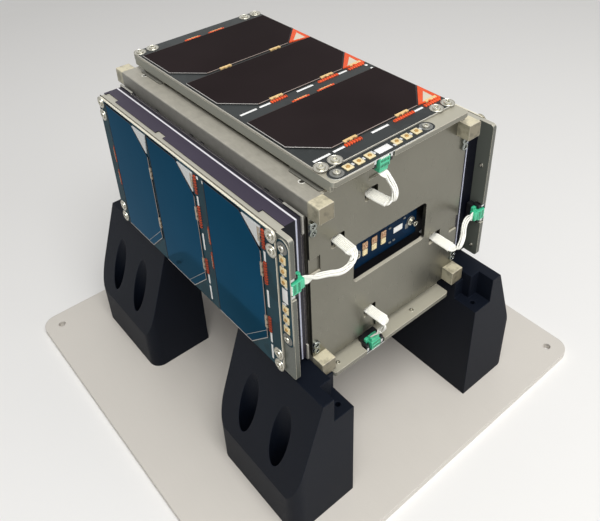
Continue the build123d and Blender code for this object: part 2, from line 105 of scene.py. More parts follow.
def half_width(node, side):
    """How far a node reaches across its side from the middle, in millimetres."""
    return side_box(f"{node}_{side}", side)[1][0]


def bar_face(side):
    """Height of the panel frame's face that carries the circuit board, in millimetres."""
    return side_box(f"board_{side}", side)[0][2]


def lie_of(side):
    """How a side's panel lies."""
    return "level" if side in LEVEL_SIDES else "upright"


def facing_front(points, station):
    """Metres of points (x, height, rise) on a face that looks forward at a station."""
    x, up, rise = np.asarray(points, float).T
    return in_body(np.stack([x, station - rise, up], axis=-1))


def facing_rear(points, station):
    """Metres of points (x seen from behind, height, rise) on a face that looks back at a station."""
    x, up, rise = np.asarray(points, float).T
    return in_body(np.stack([-x, station + rise, up], axis=-1))


# ------------------------------------------------------------------ shapes as (points, faces)
def unit(vectors):
    """Vectors of length one."""
    return vectors / np.linalg.norm(vectors, axis=-1, keepdims=True)


def smooth_step(x, low, high):
    """Rises from 0 at low to 1 at high with level ends: 3 t^2 - 2 t^3."""
    t = np.clip((x - low) / (high - low), 0, 1)
    return t * t * (3 - 2 * t)


def rings(grid):
    """Closed surface through equal rings, grid[ring, point]: quads join neighbours and a flat cap closes
    each end. Rings run counterclockwise seen from the last ring's side."""
    count, around, _ = grid.shape
    i, j = np.meshgrid(np.arange(count - 1), np.arange(around), indexing="ij")
    k = (j + 1) % around
    quads = np.stack([i * around + j, i * around + k, (i + 1) * around + k, (i + 1) * around + j], axis=-1)
    last = (count - 1) * around
    caps = [list(range(around - 1, -1, -1)), list(range(last, last + around))]
    return grid.reshape(-1, 3), quads.reshape(-1, 4).tolist() + caps


def rounded_outline(width, length, radius, steps=3):
    """Counterclockwise outline of a rounded rectangle round the origin: a quarter circle at each corner
    centre, one after the other."""
    angle = np.linspace(0, math.pi / 2, steps + 1)
    turn = np.array([0, 1, 2, 3])[:, None] * math.pi / 2
    signs = np.array([(1, 1), (-1, 1), (-1, -1), (1, -1)])
    centre = signs * (width / 2 - radius, length / 2 - radius)
    x = centre[:, :1] + radius * np.cos(angle + turn)
    y = centre[:, 1:] + radius * np.sin(angle + turn)
    return np.stack([x, y], axis=-1).reshape(-1, 2)


def bevelled(width, length, height, radius, bevel, steps=3, middle=(0, 0, 0)):
    """Rounded block that stands on z = 0: the outline is drawn in by bevel (1 - sin a) while it rises by
    bevel (1 - cos a), at the bottom and, mirrored, at the top."""
    radius = max(radius, bevel * 1.01)
    angle = np.linspace(0, math.pi / 2, 3)
    inset = bevel * (1 - np.sin(angle))
    rise = bevel * (1 - np.cos(angle))
    insets = np.concatenate([inset, inset[::-1]])
    heights = np.concatenate([rise, height - rise[::-1]])
    layers = [
        np.column_stack([
            rounded_outline(width - 2 * d, length - 2 * d, radius - d, steps), np.full(4 * (steps + 1), z)
        ])
        for d, z in zip(insets, heights)
    ]
    points, faces = rings(np.array(layers))
    return points + middle, faces


def plate(outline, low, high):
    """Flat piece of any counterclockwise outline between two heights."""
    outline = np.asarray(outline, float)
    layers = [np.column_stack([outline, np.full(len(outline), z)]) for z in (low, high)]
    return rings(np.array(layers))


def turned_profile(profile, around=32, sides=6):
    """Surface of revolution of (radius, height, share) rows: each ring's radius is mixed by its share
    from a circle to a polygon with flats at that radius, as in a hexagon socket."""
    angle = np.linspace(0, 2 * math.pi, around, endpoint=False)
    flat = math.pi / sides
    polygon = 1 / np.cos((angle + flat) % (2 * flat) - flat)
    profile = np.asarray(profile, float)
    radius = profile[:, :1] * (1 + profile[:, 2:] * (polygon - 1))
    height = np.broadcast_to(profile[:, 1:2], radius.shape)
    return rings(np.stack([radius * np.cos(angle), radius * np.sin(angle), height], axis=-1))


def screw_head(radius, height, socket, washer=0.0, washer_height=0.35):
    """Round screw head on z = 0 with a hexagon socket: side, rounded rim, crown, chamfered socket and
    its floor, on a washer if its radius is given."""
    rows = []
    base = 0.0
    if washer:
        base = washer_height
        rows += [(washer * 0.97, 0, 0), (washer, 0.08, 0), (washer, base - 0.08, 0), (washer * 0.97, base, 0)]
    top = base + height
    rows += [
        (radius, base, 0), (radius, top - 0.35 * height, 0), (radius * 0.96, top - 0.12 * height, 0),
        (radius * 0.86, top, 0), (socket * 1.12, top, 0), (socket, top - 0.06 * height, 1),
        (socket, top - 0.75 * height, 1), (socket * 0.1, top - 0.85 * height, 0),
    ]
    return turned_profile(rows)


def joined(shapes):
    """One shape of several."""
    points, faces, start = [], [], 0
    for more_points, more_faces in shapes:
        points.append(more_points)
        faces += [[start + index for index in face] for face in more_faces]
        start += len(more_points)
    return np.concatenate(points), faces


def moved(shape, offset, turn=0.0):
    """A shape turned about Z by degrees and shifted."""
    points, faces = shape
    c, s = math.cos(math.radians(turn)), math.sin(math.radians(turn))
    return points @ np.array([[c, s, 0], [-s, c, 0], [0, 0, 1]]) + offset, faces


def copies(shape, places):
    """The same shape at several places."""
    return joined([moved(shape, place) for place in places])


def turned_over(shape):
    """A shape turned half round the X axis, so that it hangs down."""
    points, faces = shape
    return points * (1, -1, -1), faces


def closed_rings(grid):
    """Surface through equal rings round a closed path, grid[ring, point]: quads join neighbours both
    ways."""
    count, around, _ = grid.shape
    i, j = np.meshgrid(np.arange(count), np.arange(around), indexing="ij")
    k, after = (j + 1) % around, (i + 1) % count
    quads = np.stack([i * around + j, i * around + k, after * around + k, after * around + j], axis=-1)
    return grid.reshape(-1, 3), quads.reshape(-1, 4).tolist()


def rim(outer, inner, low, high):
    """Flat frame between two counterclockwise outlines of as many points: the four corners of its
    section are carried round both."""
    corners = [(outer, low), (inner, low), (inner, high), (outer, high)]
    layers = [np.column_stack([line, np.full(len(line), z)]) for line, z in corners]
    return closed_rings(np.stack(layers, axis=1))


def turned_ring(radius, wide, height, around=32):
    """Rounded ring round Z on z = 0: a half circle section of the given width and height, closed below."""
    turn = np.linspace(0, 2 * math.pi, around, endpoint=False)
    angle = np.linspace(0, math.pi, 7)
    out = radius - np.cos(angle) * wide / 2
    up = np.sin(angle) * height
    out, up = np.append(out, (out[-1], out[0])), np.append(up, (-FILLED, -FILLED))
    grid = [out * np.cos(turn)[:, None], out * np.sin(turn)[:, None], np.broadcast_to(up, (around, len(up)))]
    return closed_rings(np.stack(grid, axis=-1))


def circle(radius, around=24):
    """Counterclockwise outline of a circle round the origin."""
    angle = np.linspace(0, 2 * math.pi, around, endpoint=False)
    return radius * np.stack([np.cos(angle), np.sin(angle)], axis=-1)


def band(line, width, low, high):
    """Flat strip along an open line of (x, y): each point goes out to both sides along the sum of its
    two runs' normals over one plus their product, which keeps the width round a corner."""
    line = np.asarray(line, float)
    runs = unit(np.diff(line, axis=0))
    normals = np.column_stack([-runs[:, 1], runs[:, 0]])
    before = np.vstack([normals[:1], normals])
    after = np.vstack([normals, normals[-1:]])
    mitre = (before + after) / (1 + (before * after).sum(1, keepdims=True)) * width / 2
    corners = [(line + mitre, low), (line + mitre, high), (line - mitre, high), (line - mitre, low)]
    return rings(np.stack([np.column_stack([edge, np.full(len(edge), z)]) for edge, z in corners], axis=1))


def stepped(length, back, depths, low, high):
    """Flat strip along x whose front edge steps between depths of equal width, like a tab with teeth."""
    edge = np.linspace(-length / 2, length / 2, len(depths) + 1)
    x = np.repeat(edge, 2)[1:-1]
    front = np.column_stack([x, -np.repeat(depths, 2)])
    return plate(np.vstack([front, [(length / 2, back), (-length / 2, back)]]), low, high)


def ribbed(length, width, height, ribs):
    """Raised strip along x with cross ribs: a half oval whose width and height swell as
    1 + 0.3 cos(2 pi ribs x / length) and draw in to nothing as the fourth root at both ends."""
    x = np.linspace(-length / 2, length / 2, ribs * 8 + 1)
    swell = 1 + 0.3 * np.cos(2 * math.pi * ribs * x / length)
    ends = np.clip(1 - (2 * np.abs(x) / length) ** 12, 0.03, 1) ** 0.25
    angle = np.linspace(0, math.pi, 9)
    across = np.append(np.cos(angle), (-1, 1))
    up = np.append(np.sin(angle) ** 0.6, (-0.5, -0.5))
    scale = (swell * ends)[:, None]
    along = np.broadcast_to(x[:, None], (len(x), len(across)))
    return rings(np.stack([along, scale * across * width / 2, scale * up * height], axis=-1))


def cup(radius, hole, height):
    """Upright ring with a rounded lip and a floored hole, as on a coaxial socket."""
    return turned_profile([
        (radius, 0, 0), (radius, height * 0.85, 0), (radius - 0.1, height, 0), (hole + 0.1, height, 0),
        (hole, height * 0.85, 0), (hole, height * 0.3, 0), (hole * 0.1, height * 0.25, 0),
    ], around=20)


# ------------------------------------------------------------------ pieces
def add_piece(name, shape, material, slot, sharp=35.0, replaces=()):
    """A mesh object from points in metres, with one of the MATERIALS, riding on the body."""
    points, faces = shape
    mesh = bpy.data.meshes.new(name)
    mesh.from_pydata(points.tolist(), [], faces)
    mesh.polygons.foreach_set("use_smooth", np.ones(len(mesh.polygons), bool))
    mesh.set_sharp_from_angle(angle=math.radians(sharp))
    mesh.materials.append(MATERIALS[material])
    mesh.update()
    piece = bpy.data.objects.new(name, mesh)
    bpy.context.scene.collection.objects.link(piece)
    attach(piece, "root")
    if replaces:
        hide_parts(*replaces)
    return piece


def add_on_side(name, shape, side, material, slot, **more):
    """A piece whose shape is given in one side's frame in millimetres."""
    points, faces = shape
    return add_piece(f"{name}_{side}", (on_side(points, side), faces), material, slot, **more)


def dress(nodes, material):
    """Gives CAD nodes one of the MATERIALS through their objects' own slots."""
    for name in nodes:
        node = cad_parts[name]
        if not node.material_slots:
            raise RuntimeError(f"{name} has no material slot")
        for entry in node.material_slots:
            entry.link = "OBJECT"
            entry.material = MATERIALS[material]


# ------------------------------------------------------------------ shader nodes
NOISE_RANGE = (0.3, 0.7)  # where nearly all values of a noise lie
FINE_DEPTH = 0.0001  # metres that a fine bump of strength 1 rises
TURNED_AWAY = 0.7  # a normal that lies less than this along an axis looks another way


def feed(tree, socket, value):
    """Gives a socket its value, or links it to the socket that feeds it."""
    if isinstance(value, bpy.types.NodeSocket):
        tree.links.new(value, socket)
    else:
        socket.default_value = value


def feed_named(tree, node, **values):
    """Feeds a node's inputs by name, with underscores for spaces."""
    for key, value in values.items():
        feed(tree, node.inputs[key.replace("_", " ")], value)


def shader(tree, kind, inputs=None, **settings):
    """A shader node with its settings and what goes into its inputs."""
    node = tree.nodes.new(kind)
    for key, value in settings.items():
        setattr(node, key, value)
    for key, value in (inputs or {}).items():
        feed(tree, node.inputs[key], value)
    return node


def math_node(tree, operation, a, b=0.0):
    """Result of a one-value or two-value operation."""
    return shader(tree, "ShaderNodeMath", {0: a, 1: b}, operation=operation).outputs[0]


def product(tree, a, b):
    """Two vectors or colours multiplied part by part."""
    return shader(tree, "ShaderNodeVectorMath", {0: a, 1: b}, operation="MULTIPLY").outputs[0]


def remap(tree, value, low, high, start=0.0, end=1.0):
    """A value carried from low..high to start..end and held at both ends."""
    return shader(tree, "ShaderNodeMapRange", {0: value, 1: low, 2: high, 3: start, 4: end}).outputs[0]


def roughness_from(tree, noise, low, high):
    """Roughness that wanders with a noise between two values."""
    return remap(tree, noise, *NOISE_RANGE, low, high)


def relief(tree, height, depth, strength, normal=None, invert=False):
    """Normal of a bump of the given depth in metres."""
    inputs = {"Height": height, "Distance": depth, "Strength": strength}
    if normal is not None:
        inputs["Normal"] = normal
    return shader(tree, "ShaderNodeBump", inputs, invert=invert).outputs[0]


def mix_colour(tree, share, a, b):
    """Colour mixed from a to b by a share."""
    return shader(tree, "ShaderNodeMix", {0: share, 6: a, 7: b}, data_type="RGBA").outputs[2]


def component(tree, vector, axis):
    """One component of a vector."""
    return shader(tree, "ShaderNodeSeparateXYZ", {0: vector}).outputs["XYZ".index(axis)]


def true_normal(tree):
    """The surface's own normal, before any bump."""
    return shader(tree, "ShaderNodeNewGeometry").outputs["True Normal"]


def leaning(tree, axis):
    """How far the surface's own normal lies along an axis, either way: 0 to 1."""
    return math_node(tree, "ABSOLUTE", component(tree, true_normal(tree), axis))


def shade(colour, factor):
    """A colour made darker or lighter, with an alpha of 1."""
    return (*[min(channel * factor, 1.0) for channel in colour[:3]], 1.0)


def new_group(name, inputs, outputs):
    """An empty shader node group: inputs are (name, kind, default) and outputs (name, kind)."""
    tree = bpy.data.node_groups.new(name, "ShaderNodeTree")
    for label, kind, default in inputs:
        socket = tree.interface.new_socket(label, in_out="INPUT", socket_type=f"NodeSocket{kind}")
        if default is not None:
            socket.default_value = default
    for label, kind in outputs:
        tree.interface.new_socket(label, in_out="OUTPUT", socket_type=f"NodeSocket{kind}")
    return tree, tree.nodes.new("NodeGroupInput").outputs, tree.nodes.new("NodeGroupOutput").inputs


def edge_wear_group():
    """Mask that is 1 along convex and concave edges, and the rounded normal. The mask rises as the dot
    product of the rounded normal and the true one falls from 0.995 to 0.8, and noise breaks it up."""
    tree, given, result = new_group(
        "Edge wear",
        [("Vector", "Vector", None), ("Radius", "Float", 0.0003), ("Break up", "Float", 0.6)],
        [("Mask", "Float"), ("Normal", "Vector")],
    )
    rounded = shader(tree, "ShaderNodeBevel", {"Radius": given["Radius"]}, samples=6).outputs[0]
    lean = shader(tree, "ShaderNodeVectorMath", {0: rounded, 1: true_normal(tree)}, operation="DOT_PRODUCT")
    mask = remap(tree, lean.outputs["Value"], 0.995, 0.8)
    noise = shader(tree, "ShaderNodeTexNoise", {"Vector": given["Vector"], "Scale": 900.0, "Detail": 3.0})
    gaps = math_node(tree, "SUBTRACT", 1.0, remap(tree, noise.outputs[0], 0.35, 0.6))
    kept = math_node(tree, "SUBTRACT", 1.0, math_node(tree, "MULTIPLY", given["Break up"], gaps))
    tree.links.new(math_node(tree, "MULTIPLY", mask, kept), result["Mask"])
    tree.links.new(rounded, result["Normal"])
    return tree


def grain_group():
    """Fine grain and wide clouds: noise drawn out along an axis by the stretch, and slow noise."""
    tree, given, result = new_group(
        "Grain",
        [("Vector", "Vector", None), ("Stretch", "Vector", (1.0, 1.0, 1.0)),
         ("Fine scale", "Float", 1500.0), ("Cloud scale", "Float", 35.0)],
        [("Fine", "Float"), ("Cloud", "Float")],
    )
    drawn = product(tree, given["Vector"], given["Stretch"])
    fine = shader(tree, "ShaderNodeTexNoise",
                  {"Vector": drawn, "Scale": given["Fine scale"], "Detail": 4.0, "Roughness": 0.6})
    cloud = shader(tree, "ShaderNodeTexNoise",
                   {"Vector": given["Vector"], "Scale": given["Cloud scale"], "Detail": 3.0})
    tree.links.new(fine.outputs[0], result["Fine"])
    tree.links.new(cloud.outputs[0], result["Cloud"])
    return tree


def line_group():
    """Parallel lines: 1 within a line's width of each multiple of the pitch along a coordinate."""
    tree, given, result = new_group(
        "Lines",
        [("Coordinate", "Float", 0.0), ("Pitch", "Float", 0.001), ("Width", "Float", 0.0001)],
        [("Mask", "Float")],
    )
    half = math_node(tree, "MULTIPLY", given["Pitch"], 0.5)
    away = math_node(tree, "PINGPONG", given["Coordinate"], half)
    narrow = math_node(tree, "MULTIPLY", given["Width"], 0.5)
    tree.links.new(math_node(tree, "LESS_THAN", away, narrow), result["Mask"])
    return tree


def facing_group():
    """How far a surface faces across the body, along it and up or down: 1 where the true normal is
    along that axis, and 0 from about 50 degrees off it."""
    tree, _, result = new_group("Facing", [], [("Across", "Float"), ("Along", "Float"), ("Up", "Float")])
    for label, axis in (("Across", "X"), ("Along", "Y"), ("Up", "Z")):
        tree.links.new(remap(tree, leaning(tree, axis), 0.65, 0.85), result[label])
    return tree


GROUPS = {}


def group(tree, name, **values):
    """Outputs of a shared node group placed in a material and fed by name."""
    node = tree.nodes.new("ShaderNodeGroup")
    node.node_tree = GROUPS[name]
    feed_named(tree, node, **values)
    return node.outputs


# ------------------------------------------------------------------ kinds of finish
def new_material(name):
    """A material with its tree, its Principled shader and Object coordinates."""
    material = bpy.data.materials.new(name)
    material.use_nodes = True
    tree = material.node_tree
    surface = tree.nodes["Principled BSDF"]
    place = shader(tree, "ShaderNodeTexCoord").outputs["Object"]
    return material, tree, surface, place


def with_painted_shade(tree, base, facing):
    """A colour with faces across, along or up from the body made darker by the given shares: painted shade
    where less light falls on those faces.
    """
    masks = group(tree, "Facing") if facing else None
    for label, share in (facing or {}).items():
        base = mix_colour(tree, masks[label], base, product(tree, base, share))
    return base


def finish(name, colour, metallic=0.0, roughness=0.5, spread=0.12, cloud=0.1, fine=0.05, stretch=(1, 1, 1),
           scale=1500.0, bump=0.02, wear=0.0, wear_colour=None, edge=0.0003, coat=0.0, specular=0.5,
           facing=None, cut=None, broken=0.6):
    """A plain surface with grain, clouds, bump and worn edges: cloud and fine are shares of the colour's
    brightness, spread is how far the roughness wanders, bump is the grain's depth in tenths of a
    millimetre and broken is how far noise breaks up the worn edges. facing darkens faces across, along or
    up from the body by shares of the colour, as painted shade, and cut is a pale colour given only to a
    sheet's upward-facing cut edges: partly bare cut metal, partly a painted highlight from above."""
    material, tree, surface, place = new_material(name)
    grain = group(tree, "Grain", Vector=place, Stretch=stretch, Fine_scale=scale)
    wide = mix_colour(tree, grain["Cloud"], shade(colour, 1 - cloud), shade(colour, 1 + cloud))
    close = mix_colour(tree, grain["Fine"], shade(WHITE, 1 - fine), WHITE)
    base = with_painted_shade(tree, product(tree, wide, close), facing)
    # Pale colour on upward faces only: partly bare cut metal, partly a painted highlight where light falls
    # from above
    if cut:
        level = group(tree, "Facing")["Up"]
        base = mix_colour(tree, level, base, (*cut, 1.0))
        tree.links.new(remap(tree, level, 0.0, 1.0, metallic, 0.1), surface.inputs["Metallic"])
    worn = group(tree, "Edge wear", Vector=place, Radius=edge, Break_up=broken)
    if wear:
        share = math_node(tree, "MULTIPLY", worn["Mask"], wear)
        base = mix_colour(tree, share, base, shade(wear_colour, 1) if wear_colour else shade(colour, 1.6))
    feed_named(
        tree, surface, Base_Color=base, Metallic=metallic, Coat_Weight=coat, Specular_IOR_Level=specular,
        Roughness=roughness_from(tree, grain["Fine"], max(roughness - spread, 0.03), roughness + spread),
        Normal=relief(tree, grain["Fine"], FINE_DEPTH, bump, worn["Normal"]))
    return material


def parted_finish(name, inside, colour, other, metallic, roughness, speckle, facing=None):
    """Metal of two colours: other where the mask that inside works out is 1, blotched by clouds, and
    colour elsewhere, with grain and pale worn edges over both."""
    material, tree, surface, place = new_material(name)
    grain = group(tree, "Grain", Vector=place, Stretch=(1, 0.15, 1), Fine_scale=1500.0, Cloud_scale=260.0)
    worn = group(tree, "Edge wear", Vector=place, Radius=0.0005)
    plain = mix_colour(tree, grain["Cloud"], shade(colour, 0.82), shade(colour, 1.18))
    blotch = remap(tree, grain["Cloud"], 0.36, 0.52, speckle, 0.0)
    marked = mix_colour(tree, blotch, shade(other, 1), shade(other, 0.55))
    close = mix_colour(tree, grain["Fine"], (0.8, 0.8, 0.8, 1.0), (1.12, 1.12, 1.12, 1.0))
    base = product(tree, mix_colour(tree, inside(tree, place), plain, marked), close)
    share = math_node(tree, "MULTIPLY", worn["Mask"], 0.75)
    # facing darkens faces across or along the body: painted shade
    base = mix_colour(tree, share, with_painted_shade(tree, base, facing), shade(PALE, 1))
    feed_named(tree, surface, Base_Color=base, Metallic=metallic,
               Roughness=roughness_from(tree, grain["Fine"], roughness - 0.1, roughness + 0.1),
               Normal=relief(tree, grain["Fine"], FINE_DEPTH, 0.05, worn["Normal"]))
    return material


TIP_REACH = 0.00715  # from the rails' ends to the end plates, in metres


def rail_tips(tree, place):
    """1 on the rails' tips, past the end plates."""
    along = math_node(tree, "ABSOLUTE", component(tree, place, "Y"))
    return math_node(tree, "GREATER_THAN", along, LENGTH / 2 * MM - TIP_REACH)


def pack_clips(tree, place):
    """1 on the clips that reach past a pack tray's sheet at its four edges."""
    past = []
    for axis, margin in (("Z", 0.00052), ("Y", 0.00002)):
        low, high = (corner["XYZ".index(axis)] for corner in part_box("pack_core_left"))
        away = math_node(tree, "SUBTRACT", component(tree, place, axis), (low + high) / 2)
        past.append(math_node(tree, "GREATER_THAN", math_node(tree, "ABSOLUTE", away),
                              (high - low) / 2 + margin))
    return math_node(tree, "MAXIMUM", *past)


def cell_glass(name, colour, across, rim_tint):
    """Solar cell under cover glass: a dark mirror whose reflection stays dim at a slant, with hair-fine
    contact fingers along the panel and a slow drift of tint that is a painted reflection."""
    material, tree, surface, place = new_material(name)
    grain = group(tree, "Grain", Vector=place, Cloud_scale=14.0)
    fingers = group(tree, "Lines", Coordinate=component(tree, place, across), Pitch=0.0012, Width=0.00009)
    # The slow cloudy drift of the colour is a painted reflection
    tint = mix_colour(tree, grain["Cloud"], shade(colour, 0.6), shade(colour, 1.6))
    share = math_node(tree, "MULTIPLY", fingers["Mask"], 0.05)
    feed_named(tree, surface, Base_Color=mix_colour(tree, share, tint, (0.3, 0.28, 0.26, 1.0)),
               Metallic=1.0, Specular_Tint=(*rim_tint, 1.0),
               Roughness=roughness_from(tree, grain["Cloud"], 0.045, 0.09))
    return material


def board_finish(name, colour, edge_colour, outward, specular=0.2):
    """Circuit board: satin solder mask over faint copper areas, and bare glass fibre at its edges, where
    the surface's normal leaves the side's outward axis."""
    material, tree, surface, place = new_material(name)
    grain = group(tree, "Grain", Vector=place, Fine_scale=2200.0, Cloud_scale=60.0)
    edge = math_node(tree, "LESS_THAN", leaning(tree, outward), TURNED_AWAY)
    copper = remap(tree, grain["Cloud"], 0.49, 0.51)
    mask = mix_colour(tree, copper, shade(colour, 0.9), shade(colour, 1.15))
    fibre = mix_colour(tree, grain["Fine"], shade(edge_colour, 0.8), shade(edge_colour, 1))
    feed_named(tree, surface, Base_Color=mix_colour(tree, edge, mask, fibre), Specular_IOR_Level=specular,
               Roughness=roughness_from(tree, grain["Fine"], 0.34, 0.5),
               Normal=relief(tree, copper, 0.00003, 0.6))
    return material


def printed_plastic(name, colour, pitch):
    """Printed plastic: level layer lines a fixed pitch apart in height, fine speckle and dull worn edges."""
    material, tree, surface, place = new_material(name)
    grain = group(tree, "Grain", Vector=place, Fine_scale=1800.0, Cloud_scale=30.0)
    worn = group(tree, "Edge wear", Vector=place, Radius=0.0006)
    wave = math_node(tree, "PINGPONG", component(tree, place, "Z"), pitch / 2)
    layers = math_node(tree, "MULTIPLY", wave, 2 / pitch)
    wide = mix_colour(tree, grain["Cloud"], shade(colour, 0.88), shade(colour, 1.15))
    base = mix_colour(tree, math_node(tree, "MULTIPLY", worn["Mask"], 0.5), wide, shade(colour, 3.0))
    height = math_node(tree, "ADD", layers, math_node(tree, "MULTIPLY", grain["Fine"], 0.4))
    feed_named(tree, surface, Base_Color=base, Specular_IOR_Level=0.1,
               Roughness=roughness_from(tree, grain["Fine"], 0.42, 0.62),
               Normal=relief(tree, height, 0.00004, 0.5, worn["Normal"]))
    return material


def laminate(name, colour, shaded_end_colour):
    """Folded pack: violet sheets whose edges show as fine lines along the pack, and near-black ends, where
    the surface's normal is along the body, as painted shade on the faces that look forward and back."""
    material, tree, surface, place = new_material(name)
    grain = group(tree, "Grain", Vector=place, Stretch=(1, 0.06, 1), Fine_scale=2500.0, Cloud_scale=40.0)
    end = math_node(tree, "GREATER_THAN", leaning(tree, "Y"), TURNED_AWAY)
    sheets = group(tree, "Lines", Coordinate=component(tree, place, "X"), Pitch=0.0011, Width=0.00025)
    wide = mix_colour(tree, grain["Cloud"], shade(colour, 0.8), shade(colour, 1.25))
    fine = mix_colour(tree, grain["Fine"], (0.8, 0.8, 0.8, 1.0), (1.15, 1.15, 1.15, 1.0))
    share = math_node(tree, "MULTIPLY", sheets["Mask"], 0.35)
    base = mix_colour(tree, share, product(tree, wide, fine), shade(colour, 0.35))
    feed_named(tree, surface, Base_Color=mix_colour(tree, end, base, (*shaded_end_colour, 1.0)),
               Specular_IOR_Level=0.15, Roughness=roughness_from(tree, grain["Fine"], 0.32, 0.5),
               Normal=relief(tree, grain["Fine"], FINE_DEPTH, 0.05))
    return material


def ribbed_tape(name, colour, across):
    """Amber insulating tape: narrow grooves across it darkened to a dark red, as painted shade in the
    grooves, over a cloudy orange.
    """
    material, tree, surface, place = new_material(name)
    grain = group(tree, "Grain", Vector=place, Fine_scale=900.0, Cloud_scale=120.0)
    grooves = group(tree, "Lines", Coordinate=component(tree, place, across), Pitch=0.0015, Width=0.00045)
    wide = mix_colour(tree, grain["Cloud"], shade(colour, 0.75), shade(colour, 1.25))
    # Darkening in the grooves: painted shade
    share = math_node(tree, "MULTIPLY", grooves["Mask"], 0.75)
    feed_named(tree, surface, Base_Color=mix_colour(tree, share, wide, shade(colour, 0.3)),
               Specular_IOR_Level=0.3, Roughness=roughness_from(tree, grain["Fine"], 0.4, 0.6),
               Normal=relief(tree, grooves["Mask"], FINE_DEPTH, 0.5, invert=True))
    return material


# ------------------------------------------------------------------ finishes
WHITE = (1.0, 1.0, 1.0, 1.0)
PALE = (0.68, 0.64, 0.54)  # worn edges of the anodised parts
FIBRE = (0.85, 0.83, 0.74)  # cut edges of the circuit boards
MATERIALS = {}


